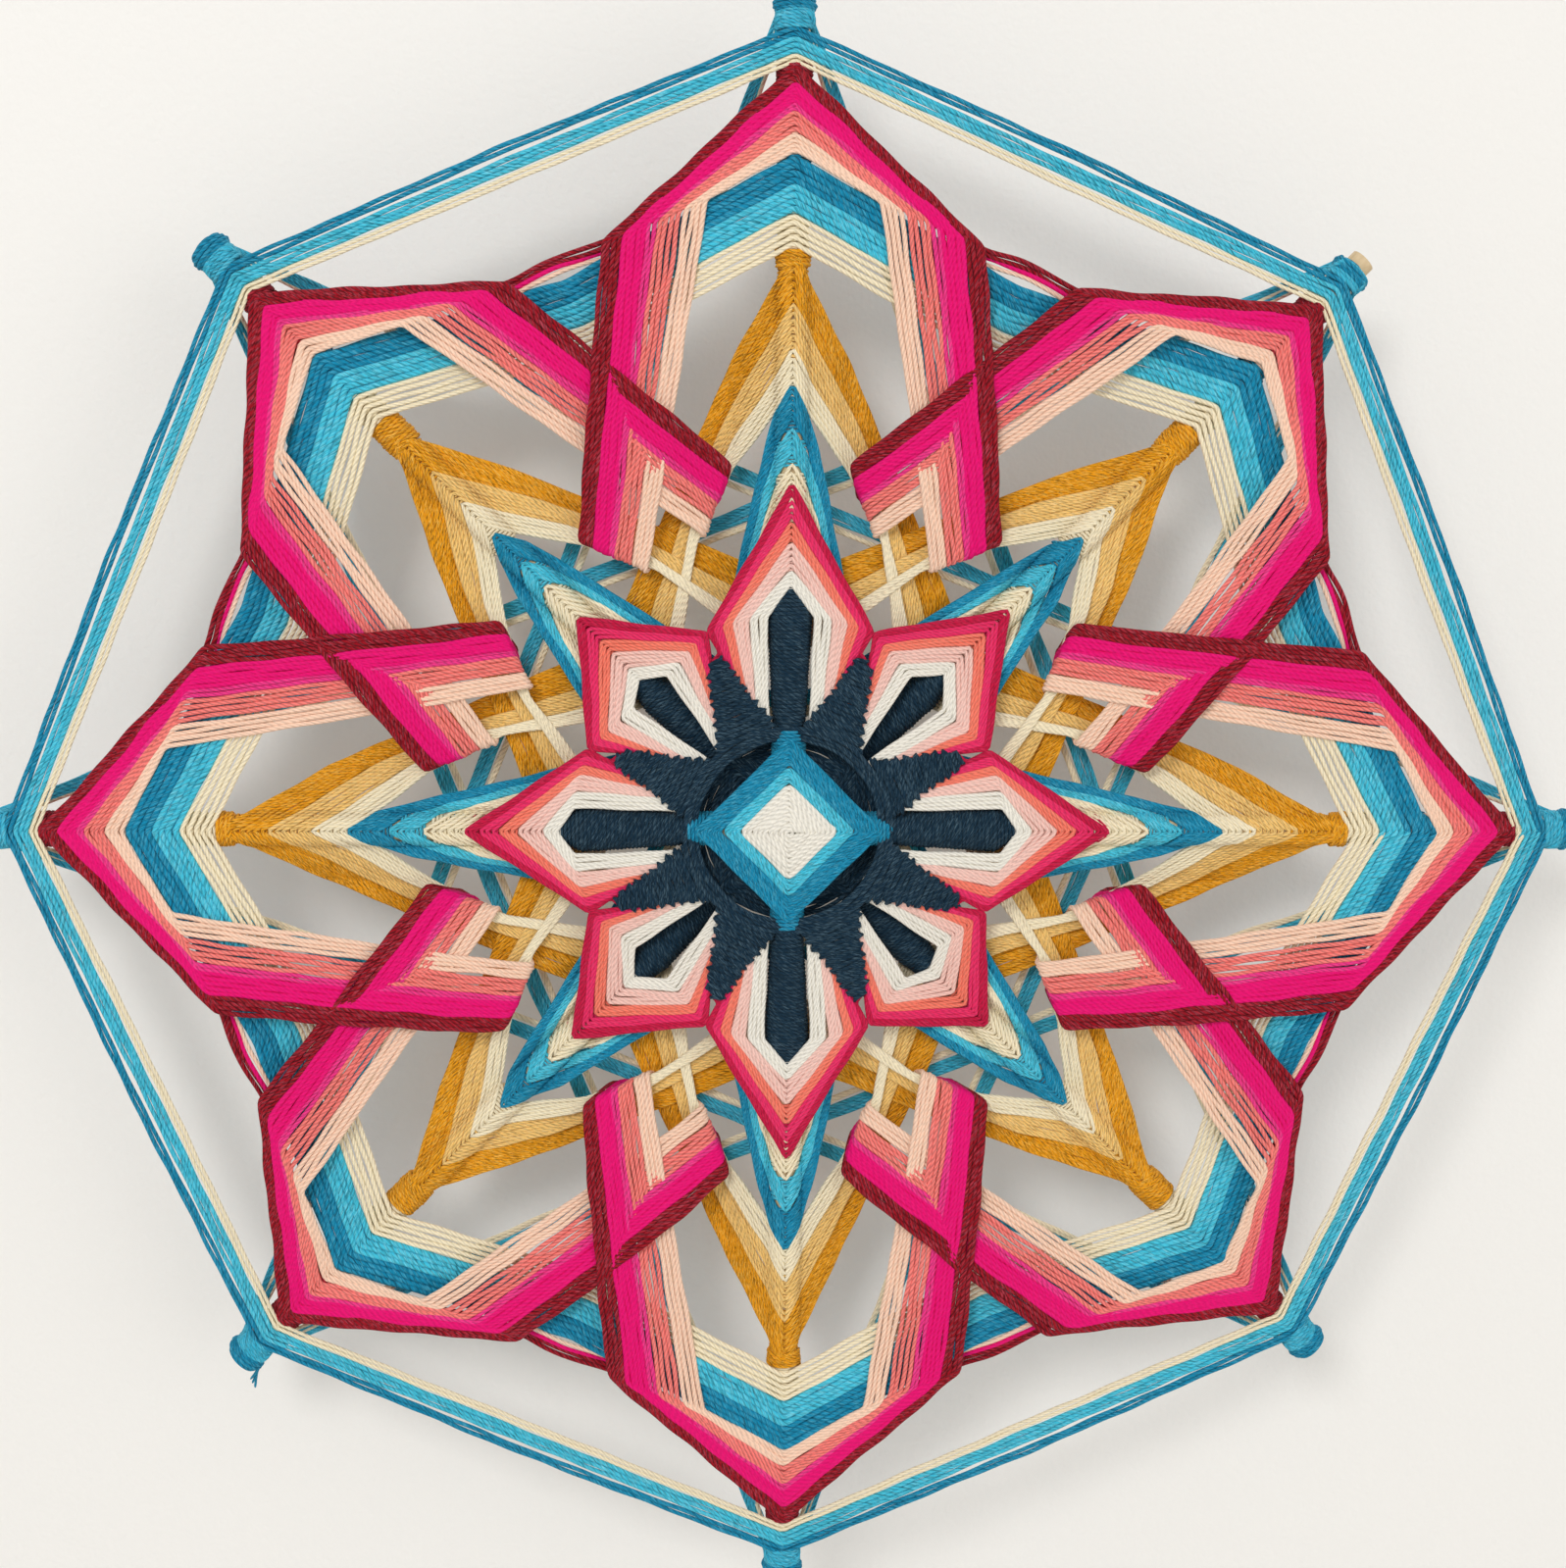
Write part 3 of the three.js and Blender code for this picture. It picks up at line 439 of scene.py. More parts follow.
class Skein:
    """All the strands of one colour in one layer, made into a single piece."""

    def __init__(self):
        self.points = []
        self.faces = []
        self.ends = []
        self.lie = []
        self.tone = []
        self.count = 0

    def lay(self, path, diameter, cut=3.0, step=STRAND_STEP, wander=0.12, sides=SIDES):
        """Lays one strand along the path."""
        points, along = even_steps(rounded(path, cut), step)
        tangents = np.gradient(points, axis=0)
        tangents /= np.maximum(np.linalg.norm(tangents, axis=1, keepdims=True), TINY)
        across = side_vectors(tangents)
        upright = np.cross(tangents, across)
        phase = rng.uniform(0, 2 * math.pi, 5)
        drift = wander * sum(np.sin(along / wave + turn) for wave, turn in zip(DRIFT_WAVES, phase))
        lift = LIFT_SHARE * wander * np.sin(along / LIFT_WAVE + phase[2])
        centre = points + drift[:, None] * upright + lift[:, None] * across
        angles = np.arange(sides) * 2 * math.pi / sides
        rings = len(points)
        radius = np.full(rings, diameter / 2) * (1 + SWELL * np.sin(along / SWELL_WAVE + phase[3]))
        radius[0] *= END_TAPER
        radius[-1] *= END_TAPER
        outward = np.cos(angles)[None, :, None] * across[:, None, :]
        outward = outward + np.sin(angles)[None, :, None] * upright[:, None, :]
        skin = centre[:, None, :] + radius[:, None, None] * outward
        lie = np.empty((rings, sides, 3))
        lie[:, :, 0] = np.cos(angles)[None, :]
        lie[:, :, 1] = np.sin(angles)[None, :]
        lie[:, :, 2] = along[:, None] + phase[0] * TWIST_SHIFT
        index = self.count + np.arange(rings * sides).reshape(rings, sides)
        ahead = np.roll(index, -1, axis=1)
        quads = np.stack((index[:-1], ahead[:-1], ahead[1:], index[1:]), axis=-1)
        self.faces.append(quads.reshape(-1, 4))
        self.ends.append(index[0][::-1])
        self.ends.append(index[-1])
        self.points.append(skin.reshape(-1, 3))
        self.lie.append(lie.reshape(-1))
        slow = 0.5 + TONE_SWING * np.sin(along / TONE_WAVE + phase[4])
        slow += rng.uniform(-TONE_JITTER, TONE_JITTER)
        self.tone.append(np.repeat(slow, sides))
        self.count += rings * sides

    def coil(self, k, start, end, radius_at, diameter, pitch, step=COIL_STEP):
        """Winds yarn round spoke k from start to end along it."""
        turns = max(1.0, (end - start) / pitch)
        count = max(LEAST_POINTS, int(turns * TURN_POINTS))
        path = []
        for i in range(count + 1):
            share = i / count
            along = mix(start, end, share)
            angle = 2 * math.pi * turns * share
            radius = radius_at(along)
            path.append(place(k, along, radius * math.cos(angle), axis_of(k) + radius * math.sin(angle)))
        self.lay(path, diameter, cut=COIL_CUT, step=step, wander=COIL_WANDER, sides=COIL_SIDES)

    def back_turn(self, k, along, diameter):
        """The half turn behind spoke k that joins the two sides of a strand."""
        radius = DOWEL_RADIUS + CLEARANCE + diameter / 2 + BACK_GAP
        path = []
        for i in range(BACK_POINTS + 1):
            angle = -math.pi * mix(BACK_START, 1 - BACK_START, i / BACK_POINTS)
            path.append(place(k, along, radius * math.cos(angle), axis_of(k) + radius * math.sin(angle)))
        self.lay(path, diameter, cut=BACK_CUT, step=BACK_STEP, wander=0.0)

    def piece(self, name, yarn, nodes):
        """The finished piece, riding on the root and standing for the named nodes."""
        points = np.concatenate(self.points) * METRES
        quads = np.concatenate(self.faces)
        mesh = bpy.data.meshes.new(name)
        mesh.vertices.add(len(points))
        mesh.vertices.foreach_set("co", points.astype(np.float32).reshape(-1))
        corners = np.concatenate([quads.reshape(-1)] + self.ends)
        totals = np.concatenate((np.full(len(quads), 4), [len(end) for end in self.ends]))
        starts = np.concatenate(([0], np.cumsum(totals)[:-1]))
        mesh.loops.add(len(corners))
        mesh.loops.foreach_set("vertex_index", corners.astype(np.int32))
        mesh.polygons.add(len(totals))
        mesh.polygons.foreach_set("loop_start", starts.astype(np.int32))
        mesh.polygons.foreach_set("loop_total", totals.astype(np.int32))
        mesh.polygons.foreach_set("use_smooth", np.ones(len(totals), bool))
        tone = mesh.attributes.new("tone", "FLOAT", "POINT")
        tone.data.foreach_set("value", np.concatenate(self.tone).astype(np.float32))
        lie = mesh.attributes.new("lie", "FLOAT_VECTOR", "POINT")
        lie.data.foreach_set("vector", np.concatenate(self.lie).astype(np.float32))
        mesh.update()
        mesh.validate()
        mesh.materials.append(YARNS[yarn])
        thing = bpy.data.objects.new(name, mesh)
        bpy.context.scene.collection.objects.link(thing)
        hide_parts(*nodes)
        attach(thing, "root")


def spread(span, count):
    """Places of a number of strands in a colour's width."""
    start, end = span
    return [mix(start, end, (i + 0.5) / count) for i in range(count)]


WRAP_YARN = 1.0
WRAP_SEAT = 0.42
WRAP_PITCH = 1.15


def round_dowel(height):
    """A coil's radius along its spoke, the same all the way."""
    return lambda along: DOWEL_RADIUS + height


def same_scale(k):
    return 1.0


def wrap_spokes(skein, span, scale_of=same_scale):
    """Covers the dowels under a colour with close turns of its yarn."""
    for k in range(SPOKES):
        start, end = [along * scale_of(k) for along in span]
        skein.coil(k, start, end, round_dowel(WRAP_SEAT), WRAP_YARN, WRAP_PITCH)


def coil_spokes(skein, span, height, diameter, pitch, step=COIL_STEP, spokes=range(SPOKES)):
    """Winds the same turns round several spokes."""
    for k in spokes:
        skein.coil(k, span[0], span[1], round_dowel(height), diameter, pitch, step=step)


TAIL_OVER = (-2.0, 3.4, 3.5)
TAIL_SIDE = (-3.0, 4.8, -1.0)


def with_tails(path, k, first_radius, last_radius):
    """The path with its two ends carried on over the dowel of spoke k and down its sides."""

    def tail(radius, sign):
        spots = (TAIL_OVER, TAIL_SIDE)
        return [place(k, radius + along, sign * across, axis_of(k) + rise) for along, across, rise in spots]

    return tail(first_radius, -1)[::-1] + list(path) + tail(last_radius, 1)


# Flower of eight petals
FLOWER_STRANDS = {"white": 4, "pale_pink": 4, "coral": 3, "rose": 3, "crimson": 3}
FLOWER_YARN = {"white": 1.45, "pale_pink": 1.5, "coral": 1.35, "rose": 1.35, "crimson": 1.35}
FLOWER_CUT = 0.9
FLOWER_TURN = 1.4
FLOWER_WRAP_GAP = 1.2
APEX_RISE = 1.2
APEX_LIFT = 0.4
KINK_LIFT = 0.4
FLOWER_DRAWN = {0: 0.99, 1: 1.045, 2: 1.055, 3: 1.0, 4: 0.99, 5: 1.04, 6: 1.04, 7: 0.985}


def flower_scale(k):
    return FLOWER_DIAGONAL if is_diagonal(k) else 1.0


def apex_scale(k):
    """Length of one petal, a little uneven as the hand left it."""
    return flower_scale(k) * FLOWER_DRAWN[k % SPOKES]


def flower_path(radius):
    """One turn of the flower: out to each tip, and tied in between two petals."""
    share = (radius - FLOWER_START) / (FLOWER_END - FLOWER_START)
    path = []

    def kink(k, sign):
        scale = mix(flower_scale(k), 1.0, share)
        along = mix(KINK_INNER[0], KINK_OUTER[0], share) * scale
        low = mix(seat_of(k), SEAT_UPRIGHT, KINK_LIFT)
        across = mix(KINK_INNER[1], KINK_OUTER[1], np.interp(share, FAN_SHARES, FAN_KINK))
        return place(k, along, sign * across, mix(low, SEAT_UPRIGHT, share))

    def tuck(k, sign):
        d = is_diagonal(k)
        slide = np.interp(share, FAN_SHARES, FAN_TUCK)
        inner = TUCK_DIAGONAL if d else TUCK_INNER
        along = mix(inner[0], TUCK_OUTER[d][0], slide)
        return place(k, along, sign * mix(inner[1], TUCK_OUTER[d][1], slide), TUCK_LEVEL)

    for k in range(SPOKES + 1):
        if k > 0:
            path.append(tuck(k, -1))
            path.append(kink(k, -1))
        path.append(place(k, radius * apex_scale(k) + APEX_RISE, 0.0, seat_of(k) + APEX_LIFT * share))
        if k < SPOKES:
            path.append(kink(k, 1))
            path.append(tuck(k, 1))
    tip = radius * apex_scale(0)
    return with_tails(path, 0, tip, tip)


for colour, count in FLOWER_STRANDS.items():
    skein = Skein()
    for radius in spread(FLOWER[colour], count):
        skein.lay(flower_path(radius), FLOWER_YARN[colour], cut=FLOWER_CUT)
        for k in range(SPOKES):
            skein.back_turn(k, radius * apex_scale(k), FLOWER_TURN)
    start, end = FLOWER[colour]
    wrap_spokes(skein, (start, end - FLOWER_WRAP_GAP), apex_scale)
    yarn = "flower_" + colour if colour in ("coral", "crimson") else colour
    skein.piece("flower_" + colour + "_yarn", yarn, ["flower_" + colour])


# Four-pointed stars: tips on one cross and roots on the spokes between. A strand lies in a V over
# the front of the dowel at its tip and then runs by its spots down to the root.
WRAP_RADIUS = 4.9
TIP_ACROSS = (2.6, 4.2, 4.9)
STAR_CUT = 1.0
STAR_TAIL = 4.0


def star_path(parity, radius, apex, root, spots, root_level, half_width, tip_angle):
    reach = root * math.cos(STEP)
    length = math.hypot(radius - reach, reach - half_width)
    path = []
    places = []
    for share, level, bow in spots:
        along = mix(radius, reach, share) + bow * (reach - half_width) / length
        across = mix(half_width, reach, share) + bow * (radius - reach) / length
        places.append((along, across, level))

    def edge(k, sign):
        points = []
        for across in TIP_ACROSS:
            rise = math.sqrt(max(0.0, WRAP_RADIUS ** 2 - across ** 2))
            along = apex - across / math.tan(tip_angle)
            points.append(place(k, along, sign * across, axis_of(k) + rise))
        points.extend(place(k, along, sign * across, level) for along, across, level in places)
        return points

    last = parity + SPOKES
    for k in range(parity, last + 1, 2):
        if k > parity:
            path.extend(reversed(edge(k, -1)))
        path.append(place(k, apex, 0.0, axis_of(k) + WRAP_RADIUS))
        if k < last:
            path.extend(edge(k, 1))
            path.append(place(k + 1, root, 0.0, root_level))
    return with_tails(path, parity, apex - STAR_TAIL, apex - STAR_TAIL)


# Spears
SPEAR_STRANDS = {"cream": 6, "light_blue": 5, "dark_blue": 7}
SPEAR_YARN = 1.3
SPEAR_APEX = 4.2
SPEAR_TIP_ANGLE = math.radians(30)
SPEAR_OVERLAP = 6.0
SPEAR_DROP_SHARE = 0.15
SPEAR_BARE = {"cream": 0.0, "light_blue": 0.0, "dark_blue": 5.0}


def spear_scale(k):
    return SPEAR_DIAGONAL if is_diagonal(k) else 1.0


def bar_radius(k, along):
    d = is_diagonal(k)
    share = (along - BAR_START) / (BAR_HEAD_PLACE[d] - BAR_START)
    return mix(BAR_ROOT_RADIUS[d], BAR_HEAD_RADIUS[d], share)


def spear_path(parity, radius):
    share = (radius - SPEAR_START) / (SPEAR_END - SPEAR_START)
    root = mix(SPEAR_ROOTS[0], SPEAR_ROOTS[1], share)
    level = axis_of(parity + 1) - bar_radius(parity + 1, SPEAR_ROOTS[1]) - CLEARANCE - BAND / 2
    drop = SEAT_DIAGONAL if parity else SEAT_UPRIGHT - 2 * LEVEL
    dive = SEAT_DIAGONAL if parity else SEAT_DIAGONAL - LEVEL - CLEARANCE
    tip = radius * spear_scale(parity)
    spots = [(SPEAR_DROP_SHARE, drop, 0.0), (SPEAR_DIVES[parity], dive, 0.0)]
    return star_path(parity, tip, tip + SPEAR_APEX, root, spots, level, SPEAR_TIP_HALF, SPEAR_TIP_ANGLE)


for colour, count in SPEAR_STRANDS.items():
    skein = Skein()
    start, end = SPEAR[colour]
    if colour == "cream":
        start -= SPEAR_OVERLAP
    for radius in spread((start, end), count):
        for parity in (0, 1):
            skein.lay(spear_path(parity, radius), SPEAR_YARN, cut=STAR_CUT)
    wrap_spokes(skein, (start, end - SPEAR_BARE[colour]), spear_scale)
    nodes = ["spear_upright_" + colour, "spear_diagonal_" + colour]
    skein.piece("spear_" + colour + "_yarn", colour, nodes)


# Gold stars: where the two stars cross, each colour lies over the next one out
GOLD_STRANDS = {"cream": 5, "light_gold": 6, "gold": 8}
GOLD_YARN = 1.35
GOLD_STEP = 1.5
GOLD_APEX = 5.0
GOLD_OVERLAP = 1.8
GOLD_SPREAD = 0.9
GOLD_TIP_ANGLE = math.radians(28)
GOLD_LEVELS = {"cream": -1.5, "light_gold": -3.5, "gold": -5.5}
GOLD_STAR_RISE = 0.8
GOLD_SHARES = (0.25, 0.5, 0.85)
GOLD_BOWS = (0.6, 1.0, 0.0)
GOLD_TIP_GAP = 1.5
GOLD_WRAP_START = {"cream": 5.0, "light_gold": COLOUR_GAP, "gold": COLOUR_GAP}
NECK_GAP = 1.4
NECK_LAP = 1.0
NECK_HEIGHT = 1.0
NECK_YARN = 1.4
NECK_PITCH = 1.2
GOLD_KNOB = (1.5, 4.0)
GOLD_KNOB_HEIGHT = 1.25
GOLD_KNOB_YARN = 1.3


def gold_scale(k):
    return GOLD_DIAGONAL if is_diagonal(k) else 1.0


def gold_path(parity, radius, colour):
    share = (radius - GOLD_START) / (GOLD_END - GOLD_START)
    scale = gold_scale(parity)
    level = GOLD_LEVELS[colour] + GOLD_STAR_RISE * parity
    bow = mix(GOLD_BOW, 0.0, share) * scale
    root = mix(GOLD_ROOTS[0], GOLD_ROOTS[1], share) * scale
    spots = [(spot, level, bend * bow) for spot, bend in zip(GOLD_SHARES, GOLD_BOWS)]
    tip = radius * scale
    apex = min(tip + GOLD_APEX, OCTAGON_START - GOLD_TIP_GAP)
    return star_path(parity, tip, apex, root, spots, GOLD_ROOT_LEVELS[parity], NECK_HALF, GOLD_TIP_ANGLE)


for colour, count in GOLD_STRANDS.items():
    skein = Skein()
    start, end = GOLD[colour]
    if colour == "cream":
        start -= GOLD_OVERLAP
    for radius in spread((start - GOLD_SPREAD, end + GOLD_SPREAD), count):
        for parity in (0, 1):
            skein.lay(gold_path(parity, radius, colour), GOLD_YARN, cut=STAR_CUT, step=GOLD_STEP)
    wrap_spokes(skein, (start - GOLD_WRAP_START[colour], end + COLOUR_GAP), gold_scale)
    if colour == "gold":
        for k in range(SPOKES):
            tip = GOLD_END * gold_scale(k)
            neck_end = OCTAGON_START - NECK_GAP
            skein.coil(k, tip - NECK_LAP, neck_end, round_dowel(NECK_HEIGHT), NECK_YARN, NECK_PITCH)
            knob = [tip + shift for shift in GOLD_KNOB]
            skein.coil(k, knob[0], knob[1], round_dowel(GOLD_KNOB_HEIGHT), GOLD_KNOB_YARN, NECK_PITCH)
    nodes = ["gold_upright_" + colour, "gold_diagonal_" + colour]
    skein.piece("gold_" + colour + "_yarn", colour, nodes)


# Inner octagon and outer ring: spirals from spoke to spoke, drawn in halfway between two spokes
STEPS_PER_LOOP = 2 * SPOKES
SPIRAL_CUT = 1.1
SPIRAL_TURN = 1.4


def spiral_path(start, loops, pitch, pinch):
    path = []
    for i in range(loops * STEPS_PER_LOOP + 1):
        k = i * SPOKES / STEPS_PER_LOOP
        radius = start + pitch * i / STEPS_PER_LOOP
        if k == int(k):
            path.append(place(k, radius, 0.0, seat_of(k)))
        else:
            path.append(place(k, radius * pinch, 0.0, SEAT_MIDDLE))
    return with_tails(path, 0, start, start + pitch * loops)


def spiral_layer(prefix, loop_counts, start, pitch, pinches, diameters, wander):
    for colour, loops in loop_counts.items():
        skein = Skein()
        path = spiral_path(start, loops, pitch, pinches[colour])
        skein.lay(path, diameters[colour], cut=SPIRAL_CUT, wander=wander)
        for i in range(loops * SPOKES):
            skein.back_turn(i % SPOKES, start + pitch * i / SPOKES, SPIRAL_TURN)
        wrap_spokes(skein, (start - pitch / 2, start + loops * pitch))
        skein.piece(prefix + "_" + colour + "_yarn", colour, [prefix + "_" + colour])
        start += loops * pitch


OCTAGON_YARN = {"cream": 1.5, "light_blue": 2.1, "dark_blue": 2.1}
OCTAGON_WANDER = 0.12
RING_YARN = {"cream": 1.2, "light_blue": 1.5, "dark_blue": 1.4}
RING_WANDER = 0.1
OCTAGON_PINCHES = dict.fromkeys(OCTAGON_LOOPS, OCTAGON_PINCH)
RING_PINCHES = {"cream": 0.9225, "light_blue": 0.9242, "dark_blue": 0.9290}
spiral_layer(
    "octagon", OCTAGON_LOOPS, OCTAGON_START, OCTAGON_PITCH, OCTAGON_PINCHES, OCTAGON_YARN, OCTAGON_WANDER,
)
spiral_layer("ring", RING_LOOPS, RING_START, RING_PITCH, RING_PINCHES, RING_YARN, RING_WANDER)


# Crimson tie round the octagon, under the petals at the spokes
TIE_HIDDEN = 5.0
TIE_SINK = 0.8
TIE_LEVEL_SHARE = 0.8
TIE_OFFSETS = (-0.8, 0.8)
TIE_YARN = 1.6
TIE_CUT = 6.0
ARC_SHARES = (0.34, 0.42, 0.5, 0.58, 0.66)
ARC_HALF = 0.16
ARC_RISE = 0.3
ARC_YARN = 1.4


def tie_path(offset):
    turn = math.radians(TIE_SHOULDER[1]) / STEP
    path = []
    for k in range(SPOKES + 1):
        level = mix(seat_of(k), SEAT_MIDDLE, TIE_LEVEL_SHARE)
        if k > 0:
            path.append(place(k - turn, TIE_SHOULDER[0] + offset, 0.0, level))
        path.append(place(k, TIE_RADIUS + TIE_HIDDEN + offset, 0.0, seat_of(k) - TIE_SINK))
        if k < SPOKES:
            path.append(place(k + turn, TIE_SHOULDER[0] + offset, 0.0, level))
            path.append(place(k + 0.5, TIE_MIDDLE + offset, 0.0, SEAT_MIDDLE))
    return path


def tie_arc(k, offset):
    """A short strand under the tie, between two petals."""
    path = []
    for share in ARC_SHARES:
        dip = 1 - ((share - 0.5) / ARC_HALF) ** 2
        radius = mix(TIE_SHOULDER[0], TIE_MIDDLE, dip) + offset
        path.append(place(k + share, radius, 0.0, SEAT_MIDDLE + ARC_RISE))
    return path


TIE_ARCS = {"magenta": -2.3, "peach": -3.9}
tie = Skein()
for offset in TIE_OFFSETS:
    tie.lay(tie_path(offset), TIE_YARN, cut=TIE_CUT)
tie.piece("tie_crimson_yarn", "crimson", ["tie_crimson"])


# Large petals: each later turn lies over the earlier ones where two petals cross
PETAL_STRANDS = {"peach": 4, "coral": 4, "pink": 2, "magenta": 5, "crimson": 4}
PETAL_YARN = {"peach": 1.6, "coral": 1.5, "pink": 1.5, "magenta": 1.85, "crimson": 1.65}
PETAL_SPREAD = {"peach": (-3.7, -2.5), "coral": (-2.6, 0.0), "pink": (-0.6, 0.3), "magenta": (-0.4, 0.0),
                "crimson": (-0.5, 0.4)}
SHOULDER_FRONT = (9.2, 7.6)
SHOULDER_RISE = 2.2
LEG_FRONT = 7.7
LEG_END_FRONT = 0.6
LEG_RISE = 4.4
LEG_LATE_SHARE = 0.76
LEG_LATE_FRONT = 5.4
LEG_END_RISE = 3.4
HOOK_TUCK = 10.0
HOOK_SIDE = 3.5
LEG_OVER = 0.45
PETAL_RISE = 0.6
PETAL_CUT = 1.4
PETAL_WANDER = 0.18
PETAL_TURN = 1.5
KNOB_SPAN = (-2.0, 1.4)
KNOB_HEIGHT = 1.1
KNOB_YARN = 1.5
KNOB_PITCH = 1.2


def petal_path(radius):
    share = (radius - PETAL_START) / (PETAL_END - PETAL_START)
    shoulder = [mix(SHOULDER_INNER[i], SHOULDER_OUTER[i], share) for i in range(2)]
    hook = [mix(HOOK_INNER[i], HOOK_OUTER[i], share) for i in range(2)]
    path = []

    def leg(k, sign):
        over = 0.0 if is_diagonal(k) else LEG_OVER
        stack_share = max(0.0, share)
        scale = gold_scale(k + sign)
        along, across = hook[0] * scale, hook[1] * scale
        rise = SHOULDER_FRONT[is_diagonal(k)] + SHOULDER_RISE * stack_share
        top = place(k, shoulder[0], sign * shoulder[1], rise)
        front = place(k + sign, along, -sign * across, LEG_END_FRONT + LEG_END_RISE * stack_share + over)
        tuck = HOOK_TUCK * stack_share * scale
        back = place(k + sign, along - tuck, -sign * (across + HOOK_SIDE), HOOK_LEVEL)
        middle = mix(top, front, LEG_MIDDLE_SHARE)
        middle[1] = -(LEG_FRONT + LEG_RISE * stack_share + over)
        late = mix(top, front, LEG_LATE_SHARE)
        late[1] = -(LEG_LATE_FRONT + LEG_RISE * stack_share + over)
        return [top, middle, late, front, back]

    for k in range(SPOKES + 1):
        if k > 0:
            path.extend(reversed(leg(k, -1)))
        path.append(place(k, radius + PETAL_RISE, 0.0, seat_of(k)))
        if k < SPOKES:
            path.extend(leg(k, 1))
    return with_tails(path, 0, radius, radius)


for colour, count in PETAL_STRANDS.items():
    skein = Skein()
    diameter = PETAL_YARN[colour]
    start, end = PETAL[colour]
    inward, outward = PETAL_SPREAD[colour]
    for radius in spread((start + inward, end + outward), count):
        skein.lay(petal_path(radius), diameter, cut=PETAL_CUT, wander=PETAL_WANDER)
        for k in range(SPOKES):
            skein.back_turn(k, radius, PETAL_TURN)
    wrap_spokes(skein, (start + inward, end))
    if colour == "crimson":
        knob = [PETAL_END + shift for shift in KNOB_SPAN]
        coil_spokes(skein, knob, KNOB_HEIGHT, KNOB_YARN, KNOB_PITCH)
    if colour in TIE_ARCS:
        for k in range(SPOKES):
            skein.lay(tie_arc(k, TIE_ARCS[colour]), ARC_YARN)
    yarn = "petal_coral" if colour == "coral" else colour
    skein.piece("petal_" + colour + "_yarn", yarn, ["petal_" + colour])


# Rear star of straight strands from tip to tip
REAR_STRANDS = {"cream": 2, "blue": 4}
REAR_YARN = 1.4
REAR_FAN = 9.0
REAR_JUMP = 3
REAR_SINK = 0.4
REAR_CUT = 2.5
CREAM_RISE = 0.2
CREAM_HALF = 3.0
SLEEVE_LAP = 1.0
SLEEVE_HEIGHT = 1.5
SLEEVE_YARN = 1.5
SLEEVE_PITCH = 1.2
SLEEVE_STEP = 1.4


def rear_path(colour, share):
    tip = mix(REAR_TIPS[colour][0], REAR_TIPS[colour][1], share)
    offset = mix(REAR[colour][0], REAR[colour][1], share)
    half = NECK_HALF if colour == "blue" else CREAM_HALF
    path = []
    for i in range(SPOKES + 1):
        k = i * REAR_JUMP
        front = seat_of(k) - REAR_SINK if colour == "blue" else axis_of(k) + DOWEL_RADIUS + CREAM_RISE
        side = axis_of(k) - DOWEL_RADIUS
        leave = tip - REAR_FAN * (1 - share)
        if i > 0:
            path.append(place(k, leave, -NECK_HALF - CLEARANCE, side))
            path.append(place(k, tip, -half, front))
        path.append(place(k, tip, 0.0, front))
        if i < SPOKES:
            path.append(place(k, tip, half, front))
            path.append(place(k, leave, NECK_HALF + CLEARANCE, side))
            level = REAR_TOP - LEVEL * (k % DOWELS)
            path.append(place(k + REAR_JUMP / 2, offset, -REAR_FLAT, level))
            path.append(place(k + REAR_JUMP / 2, offset, REAR_FLAT, level))
    return with_tails(path, 0, tip, tip)


for colour, count in REAR_STRANDS.items():
    skein = Skein()
    for i in range(count):
        skein.lay(rear_path(colour, (i + 0.5) / count), REAR_YARN, cut=REAR_CUT)
    if colour == "blue":
        sleeve = (RING_END - SLEEVE_LAP, DOWEL_END - CAP_LENGTH)
        coil_spokes(skein, sleeve, SLEEVE_HEIGHT, SLEEVE_YARN, SLEEVE_PITCH, SLEEVE_STEP)
    skein.piece("rear_star_" + colour + "_yarn", colour, ["rear_star_" + colour])


# Navy bars wound on the spokes
BAR_POINT = (5.5, 7.5)
BAR_ROOT_INSET = 0.8
BAR_HEAD_INSET = 0.3
BAR_TIP_INSET = 0.5
BAR_LAP = 1.5
BAR_END_LAP = 0.4
BAR_YARN = 1.5
BAR_PITCH = 1.2
BAR_STEP = 1.2
CORE_END_LAP = 1.6
CORE_HEIGHT = 0.6
CORE_YARN = 1.2
CORE_PITCH = 1.1


def bar_profile(k):
    d = is_diagonal(k)
    end = FLOWER_START * apex_scale(k) - COLOUR_GAP
    head = end - BAR_POINT[d]
    root_radius = BAR_ROOT_RADIUS[d] - BAR_ROOT_INSET
    head_radius = BAR_HEAD_RADIUS[d] - BAR_HEAD_INSET
    tip_radius = BAR_TIP_RADIUS - BAR_TIP_INSET

    def radius_at(along):
        if along < head:
            return mix(root_radius, head_radius, (along - BAR_START) / (head - BAR_START))
        return mix(head_radius, tip_radius, (along - head) / (end - head))

    return radius_at, end


for k in range(SPOKES):
    bar = Skein()
    radius_at, end = bar_profile(k)
    start = BAR_START - BAR_LAP
    bar.coil(k, start, end + BAR_END_LAP, radius_at, BAR_YARN, BAR_PITCH, step=BAR_STEP)
    bar.coil(k, start, end + CORE_END_LAP, round_dowel(CORE_HEIGHT), CORE_YARN, CORE_PITCH)
    name = "bar_navy_" + str(k + 1)
    bar.piece(name + "_yarn", "navy", [name])


